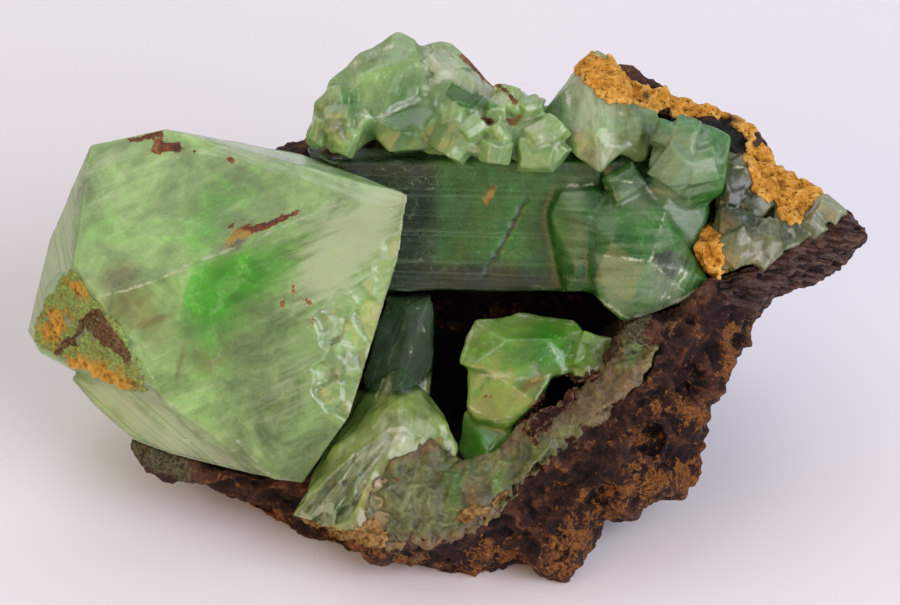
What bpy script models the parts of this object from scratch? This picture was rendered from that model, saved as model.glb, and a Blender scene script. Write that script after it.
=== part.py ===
"""Green anglesite crystals on a piece of iron-stained gossan, modelled at real size in metres, +Z up.

The crystals line one broken side of the rock, and that side leans back. Most points are therefore given in
the frame of that side, in millimetres: across to the right, up along the side, and out from it, by at().
Hidden parts of the rock are given straight in the row frame, in millimetres, by level().
The origin is on the flat patch that the rock rests on.
"""

import math

import bmesh
import bpy
from mathutils import Vector, noise

MM = 0.001

# Driving dimensions, in millimetres and degrees.
SIDE_LEAN = math.radians(38)  # the crystal-bearing side faces this far above the horizon
REST_BACK = 18.0  # from the rock's front foot to the origin, along +Y
SEAM = 0.56  # reach of a socket past the crystal in it, so that the two solids stay about 0.3 mm apart

ROCK_VOXEL = 1.1
ROCK_FACES = 4600
ROCK_LUMPS = ((8.0, 0.8), (4.2, 0.6), (2.1, 0.35))  # (size, height) of the lumps on broken rock

LEAN_SIN, LEAN_COS = math.sin(SIDE_LEAN), math.cos(SIDE_LEAN)


def at(across, up, out):
    """A point of the leaning side, in millimetres, as a point of the row frame in metres."""
    return Vector((across, up * LEAN_SIN - out * LEAN_COS - REST_BACK, up * LEAN_COS + out * LEAN_SIN)) * MM


def level(x, y, z):
    """A point of the row frame, in millimetres."""
    return Vector((x, y - REST_BACK, z)) * MM


def clear_scene():
    for obj in list(bpy.data.objects):
        bpy.data.objects.remove(obj)


def finish(name, colour, roughness, transmission=0.0):
    material = bpy.data.materials.new(name)
    material.use_nodes = True
    shader = material.node_tree.nodes["Principled BSDF"]
    shader.inputs["Base Color"].default_value = (*colour, 1.0)
    shader.inputs["Roughness"].default_value = roughness
    shader.inputs["Transmission Weight"].default_value = transmission
    return material


def object_from(name, mesh_builder, material=None):
    bmesh.ops.recalc_face_normals(mesh_builder, faces=mesh_builder.faces)
    mesh = bpy.data.meshes.new(name)
    mesh_builder.to_mesh(mesh)
    mesh_builder.free()
    obj = bpy.data.objects.new(name, mesh)
    bpy.context.scene.collection.objects.link(obj)
    if material:
        mesh.materials.append(material)
    return obj


def add_hull(shape, corners):
    """Adds the convex block that these corners span."""
    made = [shape.verts.new(corner) for corner in corners]
    result = bmesh.ops.convex_hull(shape, input=made)
    inner = [item for item in result["geom_interior"] if isinstance(item, bmesh.types.BMVert)]
    bmesh.ops.delete(shape, geom=inner, context="VERTS")


def block(corners, name="block"):
    shape = bmesh.new()
    add_hull(shape, corners)
    return object_from(name, shape)


def grown(corners, by=SEAM):
    """The corners of the same block with its faces moved out, for the socket that it sits in."""
    steps = [Vector(axis) * sign * by * MM for axis in ((1, 0, 0), (0, 1, 0), (0, 0, 1)) for sign in (1, -1)]
    return [corner + step for corner in corners for step in steps]


def apply_boolean(target, other, operation):
    modifier = target.modifiers.new(operation.lower(), "BOOLEAN")
    modifier.operation = operation
    modifier.solver = "EXACT"
    modifier.object = other
    apply_modifiers(target)
    bpy.data.objects.remove(other)


def apply_modifiers(obj):
    graph = bpy.context.evaluated_depsgraph_get()
    graph.update()
    mesh = bpy.data.meshes.new_from_object(obj.evaluated_get(graph))
    obj.modifiers.clear()
    obj.data = mesh


# The rock, as overlapping chunks. The front corners follow the broken face, the rest is the hidden back.
ROCK_CHUNKS = {
    "base": [
        level(-26, 15, 0.5), level(-20, 10, -2), level(-15, 8.2, -2), level(-5, 4, -2), level(-2, 1.5, -2),
        level(11, 0.5, -2), level(13, 1.5, -2), level(16, 11, -1), level(19, 30, -2), level(13, 40, -2),
        level(-12, 43, -2), level(-22, 36, -2), level(-25, 17, 6), level(-14, 9, 5), level(0, 5, 4),
        level(13, 4, 4), level(20, 20, 8), level(23, 34, 8), level(18, 42, 9), level(-14, 46, 9),
        level(-27, 36, 8), level(-27, 26, 5),
    ],
    "left_shoulder": [
        at(-34.4, 15.4, -8), at(-32.8, 13.4, -8), at(-31.4, 11.6, -7.5), at(-28.9, 10.5, -7),
        at(-26.3, 8.8, -7), at(-22.5, 7.8, -7), at(-20, 6.1, -6), at(-15.5, 5, -5), at(-12, 5, -4),
        at(-33.4, 14.8, -4.5), at(-29, 12.6, -3), at(-26, 12, -2.6), at(-18.5, 10.6, -2.4), at(-15, 10, -2),
        level(-30, 30, 10), level(-20, 37, 14), level(-8, 36, 12), level(-32, 26, 14),
    ],
    "shelf": [
        at(-14, 5.2, 0), at(-6, 2.6, 0), at(0, 0.8, 0.5), at(12.4, 0.6, 1), at(13.4, 3, 1.5), at(10, 9, 4),
        at(5, 9, 4), at(0, 6.2, 4), at(-6, 5.2, 3.5), at(-14, 6.6, 1.5), level(-12, 16, 8), level(12, 18, 9),
    ],
    "foot": [
        at(5, 1, 0.5), at(11.6, 0.2, 0.5), at(13.2, 0.7, 0.5), at(13.9, 1.8, 0.5), at(14.2, 4, 0),
        at(14.6, 6, 0), at(13, 5, 2.5), at(11, 2, 2.4), at(7, 5, 3), at(14, 9, 2), at(6, 9, 0), at(14, 10, -6),
    ],
    "lower_flank": [
        at(5, 9, 4), at(10.5, 14, 5), at(15.8, 21.4, 5), at(15, 8.5, 3), at(21.5, 12, 2.6), at(24, 18, 2),
        at(15.6, 6.8, -1), at(17.7, 6.6, -1.5), at(19.5, 7.1, -2), at(23.2, 7.3, -2), at(26.1, 8.6, -2.5),
        at(27, 10.6, -2.5), at(27.1, 13.5, -2.5), at(27.2, 17, -3), at(27, 19.2, -3), level(22, 22, 8),
        level(16, 30, 4),
    ],
    "upper_flank": [
        at(15.8, 21.4, 5), at(20, 26.6, 4.5), at(26.3, 30.8, 3), at(24, 18, 2), at(26.5, 24, 1.4),
        at(28, 20.1, -2), at(29, 21, -3), at(29.8, 23, -3), at(31.2, 25.1, -3.5), at(32.5, 26.5, -4),
        at(33.9, 28, -4), at(34.2, 29.6, -4), at(32, 31, 0), level(26, 28, 14), level(28, 32, 18),
        level(18, 32, 12), level(18, 30, 6),
    ],
    "wing": [
        at(26.3, 30.8, 2.5), at(32.6, 34.2, 0), at(36.8, 35.5, -1.5), at(38.6, 37.4, -3), at(42.1, 38.8, -4),
        at(34.2, 29.8, -4), at(37.2, 31.1, -4.5), at(38.9, 31.9, -5), at(41.2, 32, -5), at(42.5, 33.1, -5),
        at(43.6, 35.2, -5), at(44.2, 36.3, -5), at(44, 37.5, -5), at(43, 39, -5.5), at(41.8, 40.6, -6),
        at(40.2, 41.9, -6), at(38.8, 41.7, -6.5), at(36.6, 42.5, -7), at(40, 41, -9), at(43, 36, -9),
        level(32, 36, 23), level(33, 33, 19), at(26, 42, -9),
    ],
    "rim": [
        at(36.8, 42.3, -7), at(35, 43.8, -7.5), at(33.4, 45.5, -8), at(32.4, 47.2, -8), at(31.9, 48.7, -8.5),
        at(31.2, 49.2, -8.5), at(28.9, 49.9, -8.5), at(26.2, 50, -8.5), at(24.6, 51.3, -8.5), at(23.6, 52, -8.5),
        at(21.6, 52, -8.5), at(19.5, 53, -9), at(17.5, 54.8, -9.5), at(22, 48.5, -5.5), at(26, 48, -5.5),
        at(30, 45.5, -5.8), at(30, 43, -6), at(18, 47, -7), level(25, 41, 27), level(30, 40, 24),
        level(18, 42, 30), level(14, 40, 26),
    ],
    "core": [
        level(17.5, 27, 3), level(18, 27, 15), level(27, 28, 11), level(31, 34, 19), level(29, 40, 22),
        level(27, 42, 10), level(20, 41, 5), level(24, 30, 5), level(18, 36, 26), level(28, 37, 24),
    ],
    "back_wall": [
        level(-12, 36, 6), level(29, 36, 14), level(-13, 42, 25), level(6, 44, 27.5), level(17, 44, 30),
        level(26, 41, 26), level(25, 41, 11), level(-15, 44, 10), at(-12, 46, -14), at(12, 46, -13),
        at(20, 46, -9), at(29, 42, -9), level(24, 34, 18), level(10, 45, 7),
    ],
    "back_knob": [
        level(-11, 44, 12), level(-5, 48.5, 13), level(3, 49.5, 18), level(9, 46, 25), level(-3, 46.5, 27),
        level(-11, 44, 22), level(6, 46, 9), level(-3, 45, 5), level(0, 40, 15),
    ],
    "back_ledge": [
        level(10, 46, 4), level(16, 47, 9), level(22, 44, 14), level(21, 43, 21), level(13, 46.5, 19),
        level(9, 45.5, 10), level(20, 40, 5), level(12, 38, 12),
    ],
    "spur": [
        level(-27, 34, 3), level(-29, 40, 9), level(-27, 45, 15), level(-22, 48, 18), level(-15, 47, 24),
        level(-10, 45, 26), level(-10, 44, 4), level(-20, 46, 6), level(-24, 38, 20), level(-12, 36, 8),
    ],
    "crest": [
        level(-12, 43, 27), level(-10, 44, 30.5), level(-6, 45, 32.5), level(-2, 45, 32.5), level(5, 44.5, 28),
        level(-12, 38, 20), level(6, 38, 20), level(-8, 39, 28), level(0, 39, 27),
    ],
}

# The vug: the space that the crystals grew into.
VUG = [
    at(-2, 31, 3), at(15.5, 31, 3), at(16.5, 29, 3), at(15, 26, 3), at(9, 18, 3), at(2, 16, 3), at(0, 17, 3),
    at(-2.5, 20, 3), level(0, 32, 10), level(13, 32, 12), level(13, 32, 22), level(0, 32, 22), level(2, 24, 7),
    level(10, 24, 8),
]

# Round pores that gas or leached grains left in the broken rock: centre, radius in millimetres.
PORES = (
    (at(25.3, 20.8, 1.4), 2.4),
    (at(20.8, 15.4, 3.2), 1.9),
    (at(16.0, 8.4, 2.8), 2.1),
    (at(31.0, 30.2, 1.0), 1.2),
)

# Each crystal is one or more flat-faced blocks, named for where it stands, and each block is a list of corners.
CRYSTALS = {
    "main_crystal": {
        "body": [
            at(-38.1, 46.2, -3), at(-30, 47.9, -2.4), at(-21.6, 45.6, 0), at(-4.4, 40.6, 5), at(-4.8, 41, 4.2),
            at(-36.8, 30, 4), at(-39.5, 33.5, 2.1), at(-42.6, 36.1, -5.5), at(-45.1, 26.5, -7),
            at(-43.7, 24.2, -6.5), at(-41.3, 23.8, -4), at(-40, 22.6, -3.5), at(-34.7, 19.8, -1.5),
            at(-31.4, 20.3, 2.15), at(-18.4, 10.8, 0.1), at(-15.5, 10.5, 0), at(-5.3, 34.5, 3.96),
            at(-8.6, 25.1, 2.4), at(-10.5, 17.7, 1.1), at(-15.8, 45.3, -7), at(-18.9, 45.9, -6),
            at(-36, 42, -18), at(-30, 46, -18), at(-18, 43.5, -14), at(-10.6, 36, -7), at(-11.5, 28, -8.5),
            at(-13, 17, -9), at(-18, 13, -12), at(-30, 20, -16), at(-40, 28, -16),
        ],
        "plate": [
            at(-40.2, 21.4, -4), at(-39.5, 22.4, -5), at(-37.4, 18.2, -3.5), at(-33.7, 15.1, -2.5),
            at(-29.5, 13.5, -1.8), at(-24.7, 12.4, -1.2), at(-18.4, 10.9, -0.6), at(-31.1, 19.5, 0.4),
            at(-34.7, 20, -2.2), at(-26.5, 17, 0.8), at(-38, 22, -14), at(-30, 16, -13), at(-20, 14, -11),
            at(-22, 20, -10),
        ],
    },
    "bridge_crystals": {
        "prism": [
            at(-13, 44.6, -4), at(16, 44.4, -2.5), at(-15.5, 46.2, -8.4), at(14, 46, -8), at(-7.6, 30.8, -5.5),
            at(16.5, 30.6, -4), at(-8.5, 31.5, -13), at(15, 31.5, -13), at(-14.5, 45, -14), at(13, 45, -14),
        ],
        "lobe": [
            at(11.6, 41.4, -1.5), at(15.8, 41.6, -1.5), at(17, 38.7, -1), at(15.8, 36, -0.5),
            at(14.7, 30.9, -1), at(12.3, 30.6, -1.5), at(11.6, 36, -0.8), at(10.5, 38.7, -1.2),
            at(14, 38.5, 0), at(13.5, 33, 0.2), at(11, 40, -8), at(16, 40, -8), at(12, 32, -8), at(15, 32, -8),
        ],
        "end": [
            at(18.4, 42.4, -1), at(14.5, 38, 0), at(15, 31.9, 1), at(15.9, 29.3, 0.5), at(18.3, 27.5, 0.5),
            at(20, 27.9, 0.5), at(25.3, 29.8, 1), at(27.4, 31.9, 0), at(22.6, 38.7, 1), at(17, 36, 2.5),
            at(20.5, 33.5, 3.2), at(24.5, 33, 2.5), at(19, 29.5, 2.2), at(16, 40, -9), at(15, 31, -9),
            at(20, 29, -8), at(26, 32, -8), at(22, 40, -8),
        ],
        "filling": [
            at(14, 44.6, -5), at(22, 45, -5.5), at(25, 42, -4), at(24, 39, -4), at(15, 40, -4),
            at(15, 44.4, -11), at(24, 43, -11), at(24, 39, -10), at(15, 40, -10),
        ],
        "shoulder": [
            at(22, 43, -2), at(26, 42.5, -2), at(27.5, 39, -2), at(26, 35.5, -1), at(23.5, 36, 0),
            at(22.5, 40, 0), at(22, 42, -9), at(28, 40, -9), at(26, 35, -8), at(19, 41, -1.5),
        ],
    },
    "top_right_crystals": {
        "peak": [
            at(10, 50, -5), at(12.6, 53.4, -6), at(15.6, 56.6, -7), at(17.9, 54.8, -8), at(14.2, 54, -3.5),
            at(17.4, 50.5, -1.5), at(11, 47.7, -2.5), at(13.2, 45.2, -1), at(15.8, 43.2, 0),
            at(18.4, 45.4, -0.3), at(15.2, 47.5, 1), at(19, 51, -2.5), at(11, 50, -12), at(16, 55.5, -13),
            at(19, 50, -12), at(15, 46, -10),
        ],
        "side": [
            at(18.4, 51, -2.5), at(22.1, 49.8, -3.5), at(22.6, 46.5, -2.5), at(21.5, 44.4, -2),
            at(19.6, 44.2, -1.5), at(18.4, 45.6, -0.8), at(20, 47.5, -0.2), at(18, 50, -11), at(23, 48, -11),
            at(20, 44.5, -10), at(16, 48, -5),
        ],
    },
    "top_left_crystals": {
        "peak": [
            at(-13.2, 52.4, -6), at(-12.8, 53.5, -7), at(-9, 56.5, -8), at(-5.5, 58.7, -9),
            at(-3.7, 57.7, -7.5), at(-2.4, 55, -6), at(-3.2, 51.5, -4), at(-6.5, 50, -3), at(-9.5, 49, -3.2),
            at(-11.5, 51, -4), at(-8.5, 54, -4), at(-4.5, 55.5, -5), at(-12, 52, -15), at(-6, 57.5, -15),
            at(-2.5, 54, -14), at(-8, 49, -13),
        ],
        "broken": [
            at(-2.6, 57.2, -8), at(-1, 57.6, -9), at(0.2, 57.3, -9), at(6.8, 50.8, -9), at(5, 50.2, -7),
            at(3, 49.8, -5.5), at(0, 50.2, -4.5), at(-2.4, 52.2, -5), at(-1.5, 55.5, -6), at(2, 53.5, -6),
            at(-1, 56.5, -15), at(6, 50.5, -14), at(-1, 50, -13), at(-4, 54, -9),
        ],
        "foot": [
            at(-8.5, 49.3, -3.5), at(-7.8, 46.8, -2.5), at(-6.8, 45.2, -2), at(-2.1, 45.9, -1.8),
            at(-1, 48, -2.5), at(-2, 51, -4.5), at(-6, 51, -5), at(-5, 47.5, -1.2), at(-8, 48.5, -12),
            at(-1, 49.5, -12), at(-3, 45.8, -10),
        ],
    },
    "foot_crystals": {
        "glassy": [
            at(-5.3, 23.3, -2), at(-2.6, 19.8, 0), at(-1.1, 17.7, 1), at(1.1, 14, 1.5), at(0.6, 12.3, 2.5),
            at(-15.8, 8.2, 2), at(-16.6, 7.3, 1.5), at(-13.7, 11.1, 2.5), at(-5.3, 16.1, 5),
            at(-8.4, 11.9, 5.5), at(-11.1, 7.2, 5), at(-8.2, 4.2, 4.5), at(-6.3, 5.1, 4.5), at(-10, 20, -8),
            at(0, 16, -6), at(-13, 8, -4),
        ],
        "rear": [
            at(-7, 30.4, -8), at(-1.9, 30.2, -8), at(-1.5, 26.6, -7), at(-2.3, 19.3, -5), at(-5.3, 17.2, -4),
            at(-9.4, 19.3, -6), at(-6.5, 30.8, -13), at(-2, 30.6, -13), at(-2.5, 22, -14), at(-8, 22, -14),
            at(-4.6, 29, -6.6),
        ],
    },
    "vug_crystal": {
        "body": [
            at(2.6, 27.7, -3), at(7.4, 28.4, -4), at(13.2, 27.6, -3), at(14.1, 26.6, -2), at(13.9, 23, 0),
            at(12, 22, 0.8), at(7, 21.5, 1.2), at(2, 22.6, -0.2), at(0.8, 23, -1), at(1.6, 25.5, -2.2),
            at(6, 25.5, 0.5), at(10.5, 25.5, 0.8), at(3, 26, -10), at(12, 26.5, -10), at(8, 20, -9),
        ],
        "step": [
            at(1.8, 22, -1.2), at(1.7, 18.4, -1), at(2.6, 17.2, -0.8), at(6.3, 16.5, 0.2), at(9, 19, 1.4),
            at(10.5, 21.5, 1.2), at(5, 21.8, 0.6), at(3, 20, -9), at(9, 17, -6), at(10, 21, -8),
        ],
        "root": [
            at(1.6, 18, -3), at(6.5, 17.2, -1), at(6.8, 14.5, -0.6), at(4.8, 11, 0), at(2.4, 11.5, -0.6),
            at(0.8, 14, -2.5), at(4, 14, 0.6), at(2, 18, -9), at(6, 16, -7), at(4, 11, -7),
        ],
        "twin": [
            at(14.2, 26.4, -2.5), at(17.1, 25.5, -2.5), at(17, 23.7, -1.8), at(15.3, 22.2, -0.8),
            at(13.7, 22.4, -0.2), at(14, 24.5, -0.8), at(12, 24, -4), at(15, 25, -8), at(17, 24, -7),
        ],
    },
    "wall_crystals": {
        "upper": [
            at(29.8, 42.5, -4.2), at(30.2, 44.6, -4.4), at(32, 44.7, -5), at(34, 40.3, -4.5), at(32.2, 37.8, -3),
            at(29, 38.5, -2.6), at(28.8, 40, -3), at(31, 44, -11), at(33, 42, -10), at(29, 38, -9),
            at(32, 38, -9), at(31, 41.5, -3),
        ],
        "slab": [
            at(26.3, 36.8, -1.6), at(29, 38.8, -2.4), at(32.5, 37.8, -2), at(36.8, 37.8, -2.6),
            at(38.5, 37, -2.6), at(36.9, 35.7, -0.8), at(32.7, 34.5, 0.8), at(29, 33, 1.6), at(27, 33, 1.8),
            at(26, 35, 0.6), at(30, 36, 1), at(28, 38, -8), at(37, 37, -8), at(28, 33, -6), at(36, 36, -7),
        ],
        "tip": [
            at(35, 37.4, -3.4), at(35, 36.8, -7), at(36.5, 38.4, -4), at(38, 40.6, -5), at(40.2, 41.2, -5), at(42.3, 38.9, -3.8), at(40.5, 38, -2.8),
            at(38, 37.6, -2.8), at(40, 39.6, -3.6), at(37, 40, -9), at(41, 40, -9), at(39, 37.5, -8),
        ],
    },
    "druse_crust": {
        "low": [
            at(-7.4, 8.4, 4.2), at(-5.3, 5.5, 4.4), at(-1.1, 5.6, 4.8), at(3.2, 8.3, 5), at(5.8, 9.5, 5.2),
            at(7.4, 11, 5.4), at(5.3, 14.4, 3), at(2.6, 11.9, 2.2), at(0, 11, 1.8), at(-6, 9.5, 2),
            at(-3, 8, -2), at(4, 10, -2),
        ],
        "middle": [
            at(5.5, 9.5, 5.2), at(7.4, 11, 5.6), at(10.5, 14.4, 6), at(13.2, 17.6, 6), at(11.6, 19.3, 3.5),
            at(6.8, 16.6, 2.4), at(4.6, 13.6, 2.2), at(6, 11, -2), at(11, 17, -2),
        ],
        "high": [
            at(12, 16.2, 5.8), at(16.8, 19.2, 6), at(20, 21, 5.6), at(21.6, 25, 4.8), at(20, 25, 3.4),
            at(15.8, 21.8, 2.6), at(11.4, 19.2, 2.8), at(12, 17.5, -2), at(20, 23, -1),
        ],
    },
}

# Small crystals that grew in rows: centre, half width in millimetres, and turn about the row's upright, in degrees.
SMALL_CRYSTALS = {
    "bridge_crystals": ((at(25.3, 44.0, -2.4), 4.3, 28),),
    "top_left_crystals": (
        (at(-13.6, 47.4, -6.5), 1.6, 20), (at(-11.0, 47.8, -5.0), 2.5, 50), (at(-12.2, 50.2, -7.0), 2.1, 10),
        (at(-0.6, 47.4, -3.6), 2.3, 35), (at(2.0, 47.6, -3.6), 2.2, 70), (at(4.2, 49.2, -4.4), 2.0, 15),
        (at(5.2, 46.6, -2.8), 2.3, 40), (at(7.7, 46.8, -3.2), 2.2, 80), (at(6.8, 49.9, -5.4), 2.0, 60),
        (at(10.0, 47.0, -3.8), 2.4, 25), (at(9.4, 49.8, -6.0), 1.5, 45),
    ),
}


def small_crystal(centre, half, turn):
    """Corners of a stubby six-sided crystal with bevelled ends: full rings near the middle, smaller ones at the ends."""
    corners = []
    for height, width in ((-1.0, 0.55), (-0.45, 1.0), (0.5, 1.0), (1.05, 0.5)):
        for side in range(6):
            angle = math.radians(turn + 60 * side)
            reach = half * width * (1.0 if side % 3 else 1.18)
            offset = Vector((reach * math.cos(angle), reach * math.sin(angle), half * height))
            corners.append(centre + offset * MM)
    return corners


def blocks_of(name):
    """The corner lists of every block in this crystal group."""
    listed = list(CRYSTALS.get(name, {}).values())
    return listed + [small_crystal(*small) for small in SMALL_CRYSTALS.get(name, ())]


def crystal_group(name, material):
    """One solid of all the blocks that grew together."""
    first, *others = blocks_of(name)
    solid = block(first, name)
    for corners in others:
        apply_boolean(solid, block(corners), "UNION")
    solid.data.materials.clear()
    solid.data.materials.append(material)
    return solid


def cut_sockets(obj, groups):
    """Cuts the seat of each crystal group out of obj."""
    for group in groups:
        for corners in blocks_of(group):
            apply_boolean(obj, block(grown(corners)), "DIFFERENCE")


def voxel_remesh(obj):
    modifier = obj.modifiers.new("voxels", "REMESH")
    modifier.mode = "VOXEL"
    modifier.voxel_size = ROCK_VOXEL * MM
    apply_modifiers(obj)


def roughen(obj):
    """Moves each point along its normal by noise of a few sizes, as broken rock is uneven at each of them."""
    mesh = obj.data
    moves = []
    for vertex in mesh.vertices:
        height = 0.0
        for size, lump in ROCK_LUMPS:
            height += lump * noise.noise(vertex.co / (size * MM))
        moves.append(vertex.normal * height * MM)
    for vertex, move in zip(mesh.vertices, moves):
        vertex.co += move


def cut_level(obj):
    """Cuts the underside flat at z = 0 and closes it."""
    shape = bmesh.new()
    shape.from_mesh(obj.data)
    everything = shape.verts[:] + shape.edges[:] + shape.faces[:]
    cut = bmesh.ops.bisect_plane(
        shape, geom=everything, dist=1e-6, plane_co=(0, 0, 0), plane_no=(0, 0, -1), clear_outer=True
    )
    rim = [item for item in cut["geom_cut"] if isinstance(item, bmesh.types.BMEdge)]
    bmesh.ops.holes_fill(shape, edges=rim)
    bmesh.ops.triangulate(shape, faces=shape.faces)
    bmesh.ops.recalc_face_normals(shape, faces=shape.faces)
    shape.to_mesh(obj.data)
    shape.free()


def keep_largest_body(obj):
    """Removes any chip that the sockets cut off."""
    shape = bmesh.new()
    shape.from_mesh(obj.data)
    bodies = []
    unseen = set(shape.verts)
    while unseen:
        body = {unseen.pop()}
        edge_of_search = list(body)
        while edge_of_search:
            vertex = edge_of_search.pop()
            for edge in vertex.link_edges:
                other = edge.other_vert(vertex)
                if other in unseen:
                    unseen.remove(other)
                    body.add(other)
                    edge_of_search.append(other)
        bodies.append(body)
    largest = max(bodies, key=len)
    chips = [vertex for body in bodies if body is not largest for vertex in body]
    bmesh.ops.delete(shape, geom=chips, context="VERTS")
    shape.to_mesh(obj.data)
    shape.free()


def make_rock(material):
    shape = bmesh.new()
    for corners in ROCK_CHUNKS.values():
        add_hull(shape, corners)
    rock = object_from("gossan_matrix", shape)
    voxel_remesh(rock)
    apply_boolean(rock, block(VUG), "DIFFERENCE")
    roughen(rock)
    voxel_remesh(rock)
    fewer = rock.modifiers.new("fewer", "DECIMATE")
    fewer.ratio = min(1.0, ROCK_FACES / (2 * len(rock.data.polygons)))
    apply_modifiers(rock)
    cut_level(rock)
    for centre, radius in PORES:
        shape = bmesh.new()
        bmesh.ops.create_icosphere(shape, subdivisions=2, radius=radius * MM)
        bmesh.ops.translate(shape, verts=shape.verts, vec=centre)
        apply_boolean(rock, object_from("pore", shape), "DIFFERENCE")
    rock.data.materials.clear()
    rock.data.materials.append(material)
    return rock


def main():
    clear_scene()
    groups = {
        "main_crystal": finish("pale_green_anglesite", (0.42, 0.62, 0.36), 0.15, 0.4),
        "bridge_crystals": finish("deep_green_anglesite", (0.14, 0.27, 0.14), 0.2, 0.35),
        "top_right_crystals": finish("sea_green_anglesite", (0.33, 0.5, 0.34), 0.18, 0.4),
        "top_left_crystals": finish("grey_green_anglesite", (0.3, 0.45, 0.3), 0.18, 0.4),
        "foot_crystals": finish("glassy_anglesite", (0.3, 0.42, 0.26), 0.1, 0.5),
        "vug_crystal": finish("bright_green_anglesite", (0.27, 0.5, 0.18), 0.15, 0.4),
        "wall_crystals": finish("yellow_green_anglesite", (0.35, 0.4, 0.25), 0.25, 0.4),
        "druse_crust": finish("olive_anglesite", (0.22, 0.27, 0.14), 0.5, 0.1),
    }
    rock = make_rock(finish("gossan", (0.12, 0.05, 0.03), 0.9))
    done = []
    for group, material in groups.items():
        solid = crystal_group(group, material)
        cut_sockets(solid, done)
        done.append(group)
    cut_sockets(rock, done)
    for obj in bpy.data.objects:
        keep_largest_body(obj)


main()
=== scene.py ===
"""Looks of a hand specimen: green anglesite crystals over a hollow in rusty gossan.

The crystals line a broken side of the rock that leans back by 38 degrees. Regions and marks on that side are
given as (across, up) in millimetres: across to the right, and up along the leaning side.
"""

import math

import bmesh
import bpy
import numpy as np
from mathutils import Matrix, Vector, noise
from mathutils.kdtree import KDTree


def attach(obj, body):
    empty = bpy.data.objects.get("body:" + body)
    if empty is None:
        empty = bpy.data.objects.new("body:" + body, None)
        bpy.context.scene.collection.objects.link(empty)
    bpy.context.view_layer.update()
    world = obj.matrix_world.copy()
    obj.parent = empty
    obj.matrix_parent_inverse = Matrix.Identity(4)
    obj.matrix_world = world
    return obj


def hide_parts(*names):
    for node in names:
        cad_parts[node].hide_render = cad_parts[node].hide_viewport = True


bl_info = {
    "name": "Anglesite Specimen",
    "version": (1, 0, 0),
    "blender": (4, 5, 0),
    "location": "3D View > Sidebar > Specimen",
    "description": "Builds green anglesite crystals on gossan round a fixed frame, with their stage",
    "category": "Object",
}

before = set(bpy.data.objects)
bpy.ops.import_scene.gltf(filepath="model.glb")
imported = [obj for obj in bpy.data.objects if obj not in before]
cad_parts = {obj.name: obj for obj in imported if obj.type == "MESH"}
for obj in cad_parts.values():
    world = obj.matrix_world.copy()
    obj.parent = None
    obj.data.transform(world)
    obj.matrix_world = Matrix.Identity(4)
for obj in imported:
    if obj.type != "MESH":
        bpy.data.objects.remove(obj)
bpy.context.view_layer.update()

MM = 0.001
LEAN = math.radians(38)
SIN, COS = math.sin(LEAN), math.cos(LEAN)
REST_BACK = 18.0  # mm from the rock's front foot to the origin
OUTWARD = np.array((0.0, -COS, SIN))  # the way the leaning side faces

MERGE_GAP = 1e-6  # points closer than this are one
FLAT_ANGLE = math.radians(0.5)  # triangles that meet at less than this are one face
CRISP_ANGLE = 12  # degrees: edges that turn more than this are crisp
NO_EDGES = [(99, 99, 99)], [(99, 99, 98)]  # one edge far away, for a piece with no crisp ones
OFF_MARK = -5.0  # mm: the depth of a place that is far outside every mark
CRUST_BACK = -13  # mm: no crust lies further in from the leaning side than this
ABOVE_ALL = 60  # mm out from the leaning side, past every piece
FAR, TINY = 1e3, 1e-12  # mm: past every place, and a length that only keeps a division from failing
FULL_TURN = 6.28
ROOF_HEIGHT, ROOF_TAPER = 0.32 * MM, (0.35, 0.8, 1)  # the end of a small block
BEND_SIZE = 3.6  # mm: how long the waves are that curve a crystal's faces
DRIFT_SEED = 1

# Relief, as (size, height) pairs in millimetres, or (size, share of the height) for the crystals' swells.
SWELLS = ((3.0, 1.0), (1.3, 0.45), (0.6, 0.15))
ROCK_LUMPS = ((7.0, 1.8), (4.6, -1.8), (2.2, 0.7), (1.2, -0.7), (0.6, 0.22))
WING_BEDS = ((2.4, 0.8), (1.1, -1.0), (0.6, 0.3))
PIT_SIZE, PIT_LEVEL, PIT_DEPTH = 1.7, 0.42, 2.2
WING_START, WING_SOFT = (25.0, 26.0), (4.0, 3.0)  # mm across and up: where the wing begins, and how softly
BED_COS, BED_SIN = 0.945, 0.327  # how the wing's beds run across the leaning side
ROCK_KEPT = 0.64  # share of the rock's triangles that is kept

# The camera looks square at the leaning side.
PICTURE_WIDTH, PICTURE_HEIGHT = 900, 605  # pixels
PIXELS_PER_MM = 9.5
FOOT_ROW = 583  # pixel row of the lower end of the leaning side
LENS, SENSOR = 200, 36  # mm
LIGHT_AIM = (0, 0, 0.02)  # the middle of the specimen

# Outlines of the stained, broken and crusted places on the leaning side.
RIM_LIMONITE = [
    (14.5, 54.8), (14.9, 55.9), (15.8, 55.4), (17.1, 54.8), (18.4, 54.4), (20.0, 52.9), (21.6, 52.2),
    (23.8, 52.3), (25.3, 51.1), (26.3, 50.3), (29.2, 50.3), (31.4, 49.5), (32.3, 47.7), (33.1, 46.1),
    (34.1, 45.1), (35.8, 43.5), (37.1, 42.7), (39.2, 42.0), (39.2, 41.4), (38.1, 39.8), (37.1, 38.4),
    (35.8, 38.1), (34.5, 39.7), (33.2, 40.5), (32.1, 41.6), (31.8, 43.5), (31.6, 45.6), (31.1, 48.2),
    (30.0, 49.3), (27.9, 49.5), (26.3, 49.4), (24.2, 49.6), (22.1, 50.1), (20.0, 50.8), (16.8, 51.1),
    (15.6, 51.7), (14.5, 52.9), (14.2, 54.0),
]
WALL_LIMONITE = [
    (26.6, 36.9), (27.9, 37.4), (28.6, 35.6), (28.8, 33.2), (27.9, 32.4), (26.9, 33.5), (26.4, 35.6),
]
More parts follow.
